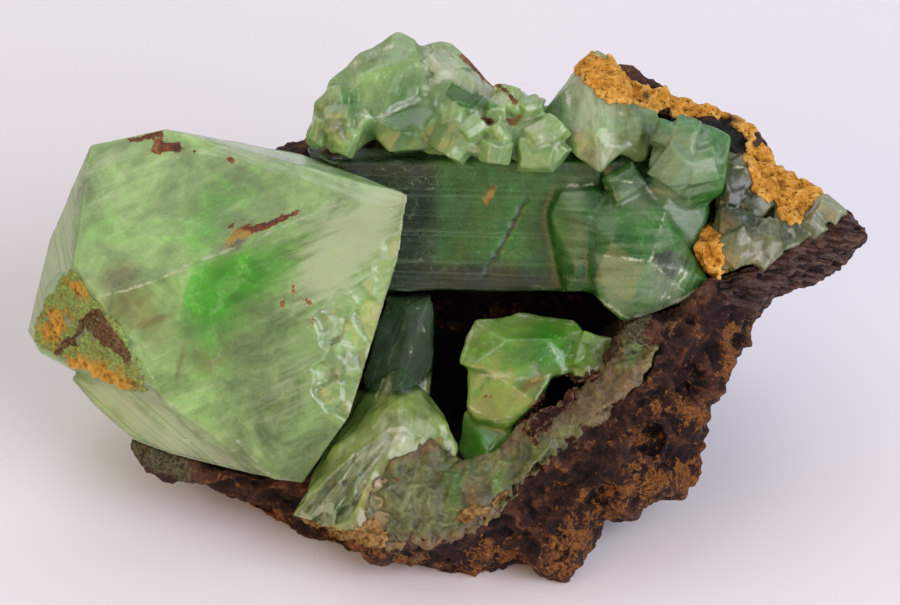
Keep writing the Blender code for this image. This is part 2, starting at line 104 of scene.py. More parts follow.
MOSSY_CRUST = [
    (-39.5, 32.9), (-38.4, 31.9), (-37.1, 30.0), (-35.8, 28.7), (-34.7, 27.2), (-33.2, 25.1), (-32.3, 23.5),
    (-31.4, 20.8), (-31.6, 20.1), (-33.2, 20.0), (-34.7, 20.1), (-36.3, 20.8), (-37.9, 22.2), (-39.5, 22.8),
    (-40.8, 23.7), (-42.1, 24.2), (-43.4, 24.6), (-44.4, 25.6), (-43.9, 27.2), (-43.1, 29.3), (-42.1, 30.8),
    (-41.1, 32.1),
]
MOSSY_CRACK = [(-41.6, 24.5), (-40.4, 25.1), (-39.4, 25.5), (-39.1, 26.7), (-38.1, 27.8), (-37.1, 28.5)]
MOSSY_PURPLE = [
    (-37.5, 28.9), (-36.4, 28.6), (-34.2, 25.6), (-33.2, 24.0), (-33.8, 22.6), (-34.8, 24.0), (-36.7, 25.1),
    (-38.1, 26.4), (-38.9, 26.7),
]
POROUS_STRIP = [
    (13.2, 22.2), (15.3, 22.4), (15.8, 22.1), (14.7, 20.8), (13.2, 19.3), (11.6, 17.7), (10.0, 16.1),
    (8.9, 14.4), (8.2, 15.1), (6.8, 16.6), (7.4, 17.7), (8.4, 18.7), (10.0, 20.1), (11.6, 21.2),
]
LEFT_FACE = [
    (-38.4, 46.2), (-39.1, 43.8), (-39.5, 40.5), (-39.7, 33.0), (-41.4, 32.5), (-42.9, 31.1), (-44.1, 25.1),
    (-47.0, 24.0), (-47.0, 30.0), (-44.5, 38.0), (-40.0, 47.5),
]
PLATE = [
    (-31.5, 20.9), (-29.2, 18.2), (-26.5, 15.4), (-22.6, 13.2), (-18.8, 10.9), (-17.0, 9.0), (-22.0, 8.0),
    (-34.2, 11.0), (-42.0, 17.0), (-43.0, 22.5), (-40.3, 22.8), (-37.2, 21.4), (-34.5, 20.4),
]
BEVEL_BAND = [
    (-27.0, 45.2), (-22.6, 44.6), (-18.8, 43.2), (-14.9, 42.1), (-11.1, 40.8), (-7.8, 39.5), (-4.0, 40.0),
    (-7.0, 43.5), (-13.3, 46.0), (-18.8, 48.0), (-24.0, 48.0),
]
RIGHT_OF_CUT = [
    (-28.9, 24.5), (-28.7, 26.3), (-28.3, 28.6), (-27.5, 31.1), (-26.9, 33.4), (-22.6, 35.4), (-19.3, 36.8),
    (-15.5, 38.5), (-5.0, 40.0), (-5.0, 18.0), (-27.0, 20.0),
]
BROKEN_BAND = [
    (-7.0, 35.5), (-7.8, 33.3), (-9.2, 31.9), (-11.1, 30.8), (-13.0, 29.7), (-14.0, 28.6), (-14.2, 26.7),
    (-12.9, 24.8), (-14.2, 22.3), (-14.6, 20.4), (-13.4, 18.6), (-11.6, 17.3), (-9.0, 17.0), (-7.6, 22.0),
    (-5.8, 28.0), (-3.8, 35.0), (-5.0, 37.0),
]
WEDGE = [
    (-23.7, 35.2), (-23.4, 36.0), (-22.6, 37.0), (-21.8, 37.6), (-19.9, 37.9), (-18.2, 38.5), (-16.6, 39.0),
    (-15.1, 39.3), (-16.3, 38.6), (-17.7, 37.9), (-19.3, 37.2), (-21.0, 36.4), (-22.6, 35.5),
]
SLATE_ROCK = [
    (21.6, 50.0), (24.2, 49.4), (26.3, 49.2), (30.0, 48.9), (31.2, 47.7), (31.6, 45.6), (29.5, 45.1),
    (27.9, 47.5), (26.3, 47.9), (24.2, 47.5), (22.9, 46.4), (21.9, 47.9),
]
DRUSE_SKIN = [
    (20.2, 26.4), (21.5, 25.2), (20.2, 23.3), (18.1, 20.5), (15.8, 17.4), (12.8, 14.4), (10.0, 12.1),
    (7.6, 9.6), (5.8, 7.5), (2.9, 5.6), (-1.1, 4.0), (-5.3, 3.7), (-8.2, 4.5), (-9.3, 6.6), (-8.6, 9.8),
    (-7.4, 12.1), (-4.7, 13.8), (-2.1, 15.1), (0.2, 14.3), (1.3, 12.1), (2.1, 9.6), (4.4, 11.9), (6.8, 14.5),
    (10.0, 16.1), (13.2, 18.0), (14.9, 20.8), (17.1, 24.3),
]
SILVER_FACE = [
    (-16.3, 7.2), (-12.6, 11.1), (-9.5, 14.0), (-6.3, 15.9), (-5.1, 15.3), (-6.8, 13.8), (-8.2, 11.9),
    (-9.3, 9.3), (-10.5, 6.8), (-13.2, 6.0),
]
BACK_CRYSTAL = [
    (-9.0, 32.0), (-1.0, 32.0), (-1.0, 26.6), (-1.8, 22.5), (-3.6, 20.6), (-5.6, 20.0), (-9.5, 20.5),
]
SMALL_ROW = [
    (-2.3, 48.5), (0.0, 49.6), (3.2, 50.0), (5.8, 51.1), (9.5, 50.4), (11.6, 49.3), (12.2, 46.5),
    (10.5, 45.2), (5.3, 45.2), (2.1, 46.0), (-1.1, 46.8),
]
LEFT_SMALL = [
    (-13.9, 50.8), (-12.6, 51.7), (-11.1, 50.8), (-9.2, 48.7), (-9.0, 46.9), (-11.1, 46.2), (-13.5, 46.4),
    (-14.1, 48.7),
]
SILVERY_TOP = [
    (-2.6, 57.2), (0.0, 56.6), (2.1, 54.8), (4.4, 52.9), (6.8, 50.8), (4.9, 50.4), (2.1, 51.9), (0.0, 53.2),
    (-2.1, 52.4), (-3.2, 55.1),
]
BRIDGE_FACETS = [
    (15.8, 41.4), (20.0, 42.4), (25.3, 40.3), (28.5, 37.2), (28.0, 31.9), (25.3, 28.8), (20.0, 26.5),
    (15.8, 28.5), (14.7, 32.9), (15.5, 37.2),
]
DARK_FACET = [(21.3, 34.5), (22.9, 35.1), (25.3, 33.8), (22.3, 30.3), (21.6, 31.4)]
TAN_CRUSTS = [
    [
        (0.5, 6.6), (1.6, 7.9), (2.6, 8.5), (3.7, 8.7), (4.7, 9.6), (6.1, 10.1), (6.5, 9.6), (5.3, 8.5),
        (4.2, 7.9), (3.2, 7.2), (2.1, 6.4), (1.3, 5.9),
    ],
    [
        (-9.7, 6.6), (-8.2, 7.2), (-7.2, 6.6), (-6.3, 5.6), (-6.7, 4.4), (-8.2, 3.8), (-10.3, 4.0),
        (-12.6, 4.7), (-15.3, 5.8), (-16.0, 6.8), (-13.7, 6.4), (-11.6, 5.6),
    ],
]


def linear(colour):
    """An sRGB hex colour as the linear values that a shader takes."""
    parts = [int(colour[i : i + 2], 16) / 255 for i in (1, 3, 5)]
    return (*(p / 12.92 if p <= 0.04045 else ((p + 0.055) / 1.055) ** 2.4 for p in parts), 1.0)


def per(size):
    """The texture scale at which a pattern repeats about every size millimetres."""
    return 1 / (size * MM)


# ---------------------------------------------------------------- settings


def length_property(name, description, default):
    """A length that the panel shows, from a default in millimetres."""
    return bpy.props.FloatProperty(
        name=name, description=description, default=default * MM, unit="LENGTH", precision=5
    )


def power_property(name, description, default):
    """The power of a light, in watts."""
    return bpy.props.FloatProperty(name=name, description=description, default=default, unit="POWER")


def colour_property(name, description, default):
    """A colour that the panel shows, from an sRGB hex default."""
    return bpy.props.FloatVectorProperty(
        name=name, description=description, default=linear(default), subtype="COLOR", size=4, min=0, max=1
    )


class SpecimenSizes(bpy.types.PropertyGroup):
    """Mesh sizes and relief of the pieces"""

    crystal_cell: length_property("Crystal mesh", "Mesh size on the large crystals", 0.25)
    small_cell: length_property("Small crystal mesh", "Mesh size on the small crystals", 0.18)
    rock_cell: length_property("Rock mesh", "Mesh size on the gossan", 0.3)
    edge_wear: length_property("Edge wear", "Width of the worn crystal edges", 0.16)
    crust: length_property("Crust", "How far the crusts stand out", 0.3)


class CrystalColours(bpy.types.PropertyGroup):
    """Colours of the anglesite"""

    pale: colour_property("Pale anglesite", "Body of the large crystal", "#acd286")
    # The heart's colour is brighter than its own green: partly painted glow, for light that shines through
    # the heart.
    deep: colour_property("Saturated anglesite", "Green heart of the large crystal", "#5cc42a")
    milk: colour_property("Milky anglesite", "Clouded parts and worn edges", "#e6fad0")
    olive: colour_property("Tinted anglesite", "Iron-tinted zones", "#8e8650")
    bridge: colour_property("Bridge anglesite", "Body of the prism over the hollow", "#2f761f")
    bridge_dark: colour_property("Shaded anglesite", "Dark end of the prism", "#143010")
    grey: colour_property("Grey-green anglesite", "Milky end facets of the prism", "#93ad86")
    druse: colour_property("Druse", "Crystal crust along the hollow", "#596030")
    bright: colour_property("Bright anglesite", "Crystal in the hollow", "#4fa822")


class RockColours(bpy.types.PropertyGroup):
    """Colours of the gossan and its crusts"""

    # dark and rust are laid by how proud the rock stands: partly its own colours, partly painted shade in the
    # hollows and painted light on proud parts.
    dark: colour_property("Dark gossan", "Hollows of the rock", "#100707")
    brown: colour_property("Gossan", "Body of the rock", "#381f18")
    rust: colour_property("Rust", "Proud parts of the rock", "#66402e")
    ochre: colour_property("Ochre", "Earthy patches", "#9c662e")
    slate: colour_property("Slate", "Grey-black rock by the rim", "#30342f")


class StageSettings(bpy.types.PropertyGroup):
    """Floor and light"""

    floor: colour_property("Floor", "Plain pale floor", "#e9e8ee")
    key_power: power_property("Key", "Power of the key light", 1.1)
    back_power: power_property("Back", "Power of the back light", 1.3)
    warm_power: power_property("Warm", "Power of the warm left light", 1.7)
    fill_power: power_property("Fill", "Power of the right light", 4.0)
    ambient: bpy.props.FloatProperty(name="Ambient", description="Strength of the even light", default=0.36)


# ---------------------------------------------------------------- meshes


def alone(piece):
    """Deselects everything, and makes this piece the active and only selected one."""
    bpy.ops.object.select_all(action="DESELECT")
    bpy.context.view_layer.objects.active = piece
    piece.select_set(True)


def duplicate(piece):
    """A copy of a piece with a mesh of its own."""
    alone(piece)
    bpy.ops.object.duplicate()
    return bpy.context.view_layer.objects.active


def set_free(piece, name):
    """Makes a copy a new piece: renamed, unparented, and with none of the frame's keys or materials."""
    piece.name = piece.data.name = name
    piece.parent = None
    for key in [key for key in piece.keys() if key.startswith("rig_")]:
        del piece[key]
    piece.data.materials.clear()


def copy_of(node, name):
    """A new piece that starts as a copy of a CAD node, with its loose triangles merged into whole faces."""
    piece = duplicate(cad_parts[node])
    set_free(piece, name)
    bpy.ops.object.mode_set(mode="EDIT")
    bpy.ops.mesh.select_all(action="SELECT")
    bpy.ops.mesh.remove_doubles(threshold=MERGE_GAP)
    bpy.ops.mesh.dissolve_limited(angle_limit=FLAT_ANGLE)
    bpy.ops.object.mode_set(mode="OBJECT")
    return piece


def shape(piece, kind, **settings):
    """Adds a modifier with these settings and applies it."""
    bpy.context.view_layer.objects.active = piece
    modifier = piece.modifiers.new(kind.lower(), kind)
    for setting, value in settings.items():
        setattr(modifier, setting, value)
    bpy.ops.object.modifier_apply(modifier=modifier.name)


def remesh(piece, cell):
    """Gives a piece one closed, even mesh with cells of this size."""
    shape(piece, "REMESH", mode="VOXEL", voxel_size=cell)


def smooth(piece, rounds):
    """Softens a piece's relief this many times."""
    shape(piece, "SMOOTH", factor=0.5, iterations=rounds)


def join(piece, others):
    """Joins these objects to a piece."""
    alone(piece)
    for other in others:
        other.select_set(True)
    bpy.ops.object.join()


def vectors(items, name):
    """This vector of each item, as the rows of an array."""
    flat = np.empty(len(items) * 3, np.float32)
    items.foreach_get(name, flat)
    return flat.reshape(-1, 3).astype(float)


def points_of(piece):
    """The place of each point of a piece, in metres."""
    return vectors(piece.data.vertices, "co")


def normals_of(piece):
    """The way that a piece faces at each of its points."""
    return vectors(piece.data.vertex_normals, "vector")


def edges_of(piece):
    """The numbers of the points at both ends of each edge."""
    ends = np.empty(len(piece.data.edges) * 2, np.int32)
    piece.data.edges.foreach_get("vertices", ends)
    return ends.reshape(-1, 2).T


def delete_points(piece, numbers):
    """Deletes these points of a piece, with the faces that use them."""
    mesh = bmesh.new()
    mesh.from_mesh(piece.data)
    mesh.verts.ensure_lookup_table()
    bmesh.ops.delete(mesh, geom=[mesh.verts[number] for number in numbers], context="VERTS")
    mesh.to_mesh(piece.data)
    mesh.free()


def set_points(piece, points):
    """Moves a piece's points to these places, in metres."""
    piece.data.vertices.foreach_set("co", points.astype(np.float32).ravel())
    piece.data.update()


def raise_by(piece, heights):
    """Moves each point out along its normal by its height in millimetres."""
    set_points(piece, points_of(piece) + normals_of(piece) * np.asarray(heights)[:, None] * MM)


def press_in(piece, depths):
    """Moves each point straight in from the leaning side by its depth in millimetres."""
    set_points(piece, points_of(piece) - OUTWARD * (depths * MM)[:, None])


def side_places(points):
    """(across, up) of these points on the leaning side, in millimetres."""
    x, y, z = points.T / MM
    return np.stack((x, (y + REST_BACK) * SIN + z * COS), axis=1)


def outness(points):
    """How far out from the leaning side these points stand, in millimetres."""
    _, y, z = points.T / MM
    return z * SIN - (y + REST_BACK) * COS


def on_side(across, up, out):
    """The point at this place on the leaning side, that far out from it, all in millimetres."""
    return np.array((across, up * SIN - out * COS - REST_BACK, up * COS + out * SIN)) * MM


def reach(places, starts, ends):
    """Distance from each place to the nearest of these straight segments."""
    nearest = np.full(len(places), FAR)
    for start, end in zip(np.asarray(starts, float), np.asarray(ends, float)):
        along = end - start
        share = np.clip((places - start) @ along / max(along @ along, TINY), 0, 1)
        gap = places - start - share[:, None] * along
        nearest = np.minimum(nearest, np.sqrt((gap * gap).sum(axis=1)))
    return nearest


def depth_in(places, outline):
    """Distance from each place to the outline in millimetres, positive inside it."""
    corners = np.asarray(outline, float)
    following = np.roll(corners, -1, axis=0)
    inside = np.zeros(len(places), bool)
    for (x1, y1), (x2, y2) in zip(corners, following):
        spans = (y1 > places[:, 1]) != (y2 > places[:, 1])
        crossing = x1 + (places[:, 1] - y1) * (x2 - x1) / ((y2 - y1) or TINY)
        inside ^= spans & (places[:, 0] < crossing)
    distance = reach(places, corners, following)
    return np.where(inside, distance, -distance)


def share_in(places, outline, soft, start=0.5):
    """From 0 outside an outline to 1 inside it, over this many millimetres, with start on the line itself."""
    return np.clip(depth_in(places, outline) / soft + start, 0, 1)


def wandering(places, amount, waves):
    """These places moved by slow waves of this many millimetres, so that straight borders wander."""
    return places + amount * np.sin(places[:, ::-1] * waves)


def groove(distances, width):
    """The profile of a groove: 1 along its middle, and next to nothing at twice its width from there."""
    return np.exp(-((distances / width) ** 2))


def wing_share(places):
    """1 on the bedded wing at the right, and 0 on the rest of the rock."""
    return np.clip((places - WING_START) / WING_SOFT, 0, 1).prod(axis=1)


def facing(piece):
    """1 where a piece faces out of the leaning side, and 0 where it faces away."""
    return np.clip((normals_of(piece) @ OUTWARD + 0.05) / 0.25, 0, 1)


def crisp_edges(piece):
    """Both ends, in millimetres, of the edges where two faces meet at a crisp angle."""
    mesh = bmesh.new()
    mesh.from_mesh(piece.data)
    found = [
        [vertex.co / MM for vertex in edge.verts]
        for edge in mesh.edges
        if edge.calc_face_angle(0.0) > math.radians(CRISP_ANGLE)
    ]
    mesh.free()
    return np.array(found).transpose(1, 0, 2)


def evened(piece, values, rounds):
    """These three values for each point, averaged over this many rings of neighbours."""
    count = len(values)
    first, second = edges_of(piece)
    number = np.bincount(first, minlength=count) + np.bincount(second, minlength=count)
    for _ in range(rounds):
        total = np.empty_like(values)
        for axis in range(3):
            total[:, axis] = np.bincount(first, values[second, axis], count)
            total[:, axis] += np.bincount(second, values[first, axis], count)
        values = total / np.maximum(number, 1)[:, None]
    return values


def proudness(piece, rounds):
    """How far each point stands above this many rings of neighbours, in millimetres."""
    points = points_of(piece)
    return ((points - evened(piece, points, rounds)) * normals_of(piece)).sum(axis=1) / MM


def paint(piece, **layers):
    """Stores numbers in layers for a piece's material to read: one for each point, or one for them all."""
    for name, values in layers.items():
        layer = piece.data.attributes.new(name, "FLOAT", "POINT")
        values = np.broadcast_to(np.asarray(values, np.float32), len(layer.data))
        layer.data.foreach_set("value", np.ascontiguousarray(values))


def drop_crumbs(piece, fewest=100):
    """Removes the loose bits of a piece that have fewer points than this."""
    first, second = edges_of(piece)
    part = np.arange(len(piece.data.vertices))
    while True:
        least = part.copy()
        np.minimum.at(least, first, part[second])
        np.minimum.at(least, second, part[first])
        least = least[least]
        if (least == part).all():
            break
        part = least
    crumbs = np.flatnonzero(np.bincount(part)[part] < fewest)
    if len(crumbs):
        delete_points(piece, crumbs)


def place(piece, slot, *nodes):
    """Shades a finished piece smooth, and settles it on the frame in place of these CAD nodes."""
    drop_crumbs(piece)
    alone(piece)
    bpy.ops.object.shade_smooth()
    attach(piece, "root")
    if nodes:
        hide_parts(*nodes)


def drifted(points, size, amount):
    """These points moved by noise, size and amount in millimetres, so that flat faces curve."""
    noise.seed_set(DRIFT_SEED)  # the vector noise starts from the time of day otherwise
    moves = [noise.noise_vector(Vector(point) / (size * MM)) for point in points]
    return points + np.array(moves) * amount * MM


def heave(points, *octaves):
    """Sum of noise heights in millimetres at these points, from (size, height) pairs in millimetres. A
    negative height gives sharp crests of that height, with hollows between them."""
    total = np.zeros(len(points))
    for size, height in octaves:
        scaled = points / (size * MM) + 17.0 * size
        values = np.array([noise.noise(Vector(point)) for point in scaled])
        total += height * (np.abs(values) if height < 0 else values)
    return total


def facets(places, size, tilt, seed):
    """Heights of broken facets about size millimetres across: each is flat, with its own tilt and level."""
    rng = np.random.default_rng(seed)
    low, high = places.min(axis=0), places.max(axis=0)
    count = int(np.prod((high - low) / size)) + 2
    middles = rng.uniform(low, high, (count, 2))
    tilts, levels = rng.uniform(-tilt, tilt, (count, 2)), rng.uniform(-0.5, 0.5, count) * size * tilt
    tree = KDTree(count)
    for number, middle in enumerate(middles):
        tree.insert((*middle, 0.0), number)
    tree.balance()
    nearest = np.array([tree.find((*place_at, 0.0))[1] for place_at in places])
    return ((places - middles[nearest]) * tilts[nearest]).sum(axis=1) + levels[nearest]


def zones(places, items):
    """Sum of soft zones: each is (across, up, radius, strength), or (across, up, length, width, degrees,
    strength), or (outline, soft, strength), whose border fades over soft millimetres, or the strength at
    every place."""
    total = np.zeros(len(places))
    for item in items:
        if isinstance(item, np.ndarray):
            total += item
            continue
        if isinstance(item[0], list):
            outline, soft, strength = item
            total += strength * share_in(places, outline, soft)
            continue
        across, up, long, *rest, strength = item
        wide, turn = rest or (long, 0)
        turn = math.radians(turn)
        gap = places - (across, up)
        along = gap[:, 0] * math.cos(turn) + gap[:, 1] * math.sin(turn)
        aside = gap[:, 1] * math.cos(turn) - gap[:, 0] * math.sin(turn)
        total += strength * np.exp(-((along / long) ** 2) - (aside / wide) ** 2)
    return total


def marks(places, items):
    """Depth of each place in these marks, in millimetres: each is an outline or (start, end, half width)."""
    depth = np.full(len(places), OFF_MARK)
    for item in items:
        if isinstance(item, list):
            found = depth_in(places, item)
        else:
            start, end, half_width = item
            found = half_width - reach(places, [start], [end])
        depth = np.maximum(depth, found)
    return depth


def line(*corners, width=0.12):
    """Marks along a line through these corners."""
    return [(start, end, width) for start, end in zip(corners, corners[1:])]


def small_block():
    """One blocky crystal, a millimetre across, with a roof-shaped end."""
    bpy.ops.object.select_all(action="DESELECT")
    bpy.ops.mesh.primitive_cube_add(size=MM)
    block = bpy.context.view_layer.objects.active
    bpy.ops.object.mode_set(mode="EDIT")
    mesh = bmesh.from_edit_mesh(block.data)
    for face in mesh.faces:
        face.select_set(face.normal.z > 0.9)
    bmesh.update_edit_mesh(block.data)
    bpy.ops.mesh.extrude_region_move(TRANSFORM_OT_translate={"value": (0, 0, ROOF_HEIGHT)})
    bpy.ops.transform.resize(value=ROOF_TAPER)
    bpy.ops.object.mode_set(mode="OBJECT")
    return block


def grow_blocks(piece, outline, number, smallest, largest, seed, low=1.0, spread=0.3):
    """Small blocky crystals, grown inside this outline out of a piece or the rock beside it. Low is their
    height to their width, and spread how far they lean apart."""
    rng = np.random.default_rng(seed)
    corners = np.array(outline)
    block, grown = small_block(), []
    bpy.context.view_layer.update()
    while len(grown) < number:
        place_at = rng.uniform(corners.min(axis=0), corners.max(axis=0))
        size, turn = rng.uniform(smallest, largest), rng.uniform(0, FULL_TURN)
        lean = rng.normal(0, spread, 3)
        if depth_in(place_at[None], outline)[0] < 0:
            continue
        above, down = Vector(on_side(*place_at, ABOVE_ALL)), Vector(-OUTWARD)
        ground = [body.ray_cast(above, down) for body in (piece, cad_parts["gossan_matrix"])]
        ground = [(Vector(OUTWARD).dot(spot), spot, normal) for hit, spot, normal, _ in ground if hit]
        _, spot, normal = max(ground, key=lambda found: found[0])
        copy = block.copy()
        copy.data = block.data.copy()
        bpy.context.scene.collection.objects.link(copy)
        way = (normal * 0.6 + Vector(OUTWARD) * 0.5 + Vector(lean)).normalized()
        turned = way.to_track_quat("Z", "Y").to_matrix().to_4x4() @ Matrix.Rotation(turn, 4, "Z")
        wide, deep = rng.uniform(0.7, 1.2, 2)
        sized = Matrix.Diagonal((size * wide, size * deep, size * low, 1))
        copy.matrix_world = Matrix.Translation(spot) @ turned @ sized
        grown.append(copy)
    bpy.data.objects.remove(block)
    join(grown[0], grown[1:])
    bpy.ops.object.transform_apply(location=True, rotation=True, scale=True)
    return grown[0]


def crystal_from(node, name, cell, wear, bend, rounding, swell, fill=0.0, blocks=()):
    """A crystal piece with an even mesh and worn edges, and the crisp edges that it had in the frame. Bend is
    how far its faces curve in millimetres, rounding how many times it is smoothed, swell its low relief, and
    fill how wide the gaps are that close up. Blocks are groups of small crystals that grow out of it."""
    piece = copy_of(node, name)
    edges = [crisp_edges(piece)]
    angle = math.radians(CRISP_ANGLE)
    shape(piece, "BEVEL", width=wear, segments=2, limit_method="ANGLE", angle_limit=angle)
    pattern = duplicate(piece)
    remesh(piece, cell)
    if fill:
        shape(piece, "DISPLACE", strength=fill * MM / 2, mid_level=0.0)
        remesh(piece, cell)
        shape(piece, "DISPLACE", strength=-fill * MM / 2, mid_level=0.0)
        smooth(piece, 2)
    else:
        shape(piece, "SHRINKWRAP", target=pattern, wrap_method="NEAREST_SURFACEPOINT")
    bpy.data.objects.remove(pattern)
    grown = [grow_blocks(piece, *group) for group in blocks]
    if grown:
        edges += [crisp_edges(block) for block in grown]
        join(piece, grown)
        remesh(piece, cell)
    set_points(piece, drifted(points_of(piece), BEND_SIZE, bend))
    smooth(piece, rounding)
    raise_by(piece, heave(points_of(piece), *((size, swell * share) for size, share in SWELLS)))
    return piece, [np.concatenate(ends) for ends in zip(*edges)]


# ---------------------------------------------------------------- materials


def add(tree, kind, inputs=(), out=0, stops=(), **settings):
    """Adds one node with its settings and links, and gives back one of its outputs. The inputs are named, or
    stand in the order of the node's sockets. A socket is linked, and any other value is set. Stops are the
    (place, colour) pairs of a ramp: its first, its last, and those between."""
    node = tree.nodes.new("ShaderNode" + kind)
    for setting, value in settings.items():
        setattr(node, setting, value)
    for key, value in inputs.items() if isinstance(inputs, dict) else enumerate(inputs):
        if isinstance(value, bpy.types.NodeSocket):
            tree.links.new(value, node.inputs[key])
        else:
            node.inputs[key].default_value = value
    for number, (spot, colour) in enumerate(stops):
        stop = node.color_ramp.elements[number] if number < 2 else node.color_ramp.elements.new(spot)
        stop.position = spot
        stop.color = colour
    return node.outputs[out] if len(node.outputs) else node


def new_material(name):
    """A new material with an empty node tree, and that tree."""
    material = bpy.data.materials.new(name)
    material.use_nodes = True
    material.node_tree.nodes.clear()
    return material, material.node_tree


def lay(tree, under, over, pattern, low, high, share=1.0):
    """Lays one colour over another, up to this share, where a pattern goes from low to high."""
    amount = add(tree, "MapRange", (pattern, low, high, 0.0, share), interpolation_type="SMOOTHSTEP")
    return add(tree, "Mix", {0: amount, 6: under, 7: over}, out=2, data_type="RGBA")


def uneven(tree, layer, pattern, amount):
    """What paint() stored, made uneven by a pattern that adds or takes up to half this amount."""
    stored = add(tree, "Attribute", out="Fac", attribute_name=layer)
    offset = add(tree, "Math", (pattern, amount, -amount / 2), operation="MULTIPLY_ADD")
    return add(tree, "Math", (stored, offset), operation="ADD")


def wisps(tree, where, size, width, clouds):
    """Thin curved lines about size millimetres apart, that come and go with the clouds."""
    field = add(
        tree, "TexNoise",
        {"Vector": where, "Scale": per(size), "Detail": 3, "Roughness": 0.5, "Distortion": 1.2}
    )
    gap = add(tree, "Math", (add(tree, "Math", (field, 0.5), operation="SUBTRACT"),), operation="ABSOLUTE")
    lines = add(tree, "MapRange", (gap, 0.0, width, 1.0, 0.0), interpolation_type="SMOOTHSTEP")
    shown = add(tree, "MapRange", (clouds, 0.45, 0.62), interpolation_type="SMOOTHSTEP")
    return add(tree, "Math", (lines, shown), operation="MULTIPLY")


def anglesite(
    name, body, deep, milk, tint, absorbed, density, rough=0.2, clear=0.5, cloud=6.0, blocky=0.16, block=4.0,
    wispy=0.4, worn=0.35, relief=0.12, grainy=0.08, mottled=0.3, bright="#e3ecd2", lustre=0.28,
):
    """Anglesite, lead sulphate grown as blocky crystals: adamantine lustre, so bright sharp highlights on
    flat faces, and a clouded glassy inside with green zones, healed fractures, bright flecks and milky worn
    edges."""
    material, tree = new_material(name)
    where = add(tree, "TexCoord", out="Object")
    clouds = add(
        tree, "TexNoise",
        {"Vector": where, "Scale": per(cloud), "Detail": 5, "Roughness": 0.62, "Distortion": 0.7}
    )
    mottle = add(tree, "TexNoise", {"Vector": where, "Scale": per(1.5), "Detail": 4, "Roughness": 0.72})
    grain = add(tree, "TexNoise", {"Vector": where, "Scale": per(0.26), "Detail": 2, "Roughness": 0.7})
    # Growth runs one way on each face, so its veils are drawn out along it, about 7 mm long and 1 mm wide.
    across = uneven(tree, "across", mottle, 0.35)
    along = add(tree, "Attribute", out="Fac", attribute_name="along")
    grown = add(tree, "CombineXYZ", (add(tree, "Math", (along, 0.15), operation="MULTIPLY"), across, 0.0))
    veils = add(
        tree, "TexNoise", {"Vector": grown, "Scale": 1.0, "Detail": 5, "Roughness": 0.66, "Distortion": 0.3}
    )
    # Green hearts, iron-tinted zones and milky clouds. The heart layer also carries painted light and shade:
    # the glow of the large crystal's heart, and the dark shaded end of the prism.
    colour = lay(tree, body, deep, uneven(tree, "heart", clouds, 1.5), 0.0, 1.0)
    colour = lay(tree, colour, tint, uneven(tree, "tinted", veils, 0.9), 0.2, 0.9, 0.85)
    # Inner planes: each cleaved block inside sends back a little more or less light.
    bent = add(tree, "TexNoise", {"Vector": where, "Scale": per(2.6), "Detail": 3}, out="Color")
    bent = add(tree, "VectorMath", (bent, (1.6 * MM,) * 3, where), operation="MULTIPLY_ADD")
    planes = add(tree, "TexVoronoi", {"Vector": bent, "Scale": per(block)}, out="Color")
    tone = add(tree, "MapRange", (planes, 0.0, 1.0, 1 - blocky, 1 + blocky))
    for pattern, amount in (
        (clouds, mottled * 1.8), (veils, mottled * 0.35), (mottle, mottled * 0.6), (grain, grainy),
    ):
        light = add(tree, "MapRange", (pattern, 0.3, 0.7, 1 - amount, 1 + amount))
        tone = add(tree, "Math", (tone, light), operation="MULTIPLY")
    colour = add(tree, "HueSaturation", {"Value": tone, "Color": colour})
    colour = lay(tree, colour, milk, uneven(tree, "milky", veils, 2.2), 0.05, 1.05, 0.8)
    # Healed fractures: thin sheets of tiny bubbles, seen as fine pale lines.
    for size, width in ((8.0, 0.014), (3.5, 0.022)):
        colour = lay(tree, colour, linear(bright), wisps(tree, where, size, width, clouds), 0.0, 1.0, wispy)
    # Growth stripes and cleavage traces.
    stripes = add(
        tree, "TexNoise", {"W": across, "Scale": 2.3, "Detail": 5, "Roughness": 0.75}, noise_dimensions="1D"
    )
    stored = add(tree, "Attribute", out="Fac", attribute_name="striped")
    striped = add(tree, "MapRange", (stripes, 0.47, 0.68), interpolation_type="SMOOTHSTEP")
    striped = add(tree, "Math", (striped, stored), operation="MULTIPLY")
    colour = lay(tree, colour, linear(bright), striped, 0.0, 1.0, 0.75)
    dark_stripes = add(tree, "MapRange", (stripes, 0.5, 0.32), interpolation_type="SMOOTHSTEP")
    dark_stripes = add(tree, "Math", (dark_stripes, stored), operation="MULTIPLY")
    colour = lay(tree, colour, deep, dark_stripes, 0.0, 1.0, 0.6)
    # Flecks: small bright cleavage planes inside.
    fleck = add(tree, "TexNoise", {"Vector": where, "Scale": per(0.55), "Detail": 2, "Roughness": 0.5})
    fleck = add(tree, "MapRange", (fleck, 0.66, 0.72), interpolation_type="SMOOTHSTEP")
    shown = add(tree, "MapRange", (clouds, 0.5, 0.65), interpolation_type="SMOOTHSTEP")
    fleck = add(tree, "Math", (fleck, shown), operation="MULTIPLY")
    colour = lay(tree, colour, linear(bright), fleck, 0.0, 1.0, 0.65)
    # Worn edges, chipped by noise.
    edge = uneven(tree, "edge", mottle, 0.9)
    wear = add(tree, "MapRange", (edge, -0.05, 0.2, 1.0, 0.0), interpolation_type="SMOOTHSTEP")
    shown = add(tree, "MapRange", (clouds, 0.38, 0.58), interpolation_type="SMOOTHSTEP")
    colour = lay(
        tree, colour, linear(bright), add(tree, "Math", (wear, shown), operation="MULTIPLY"), 0.0, 1.0, worn
    )
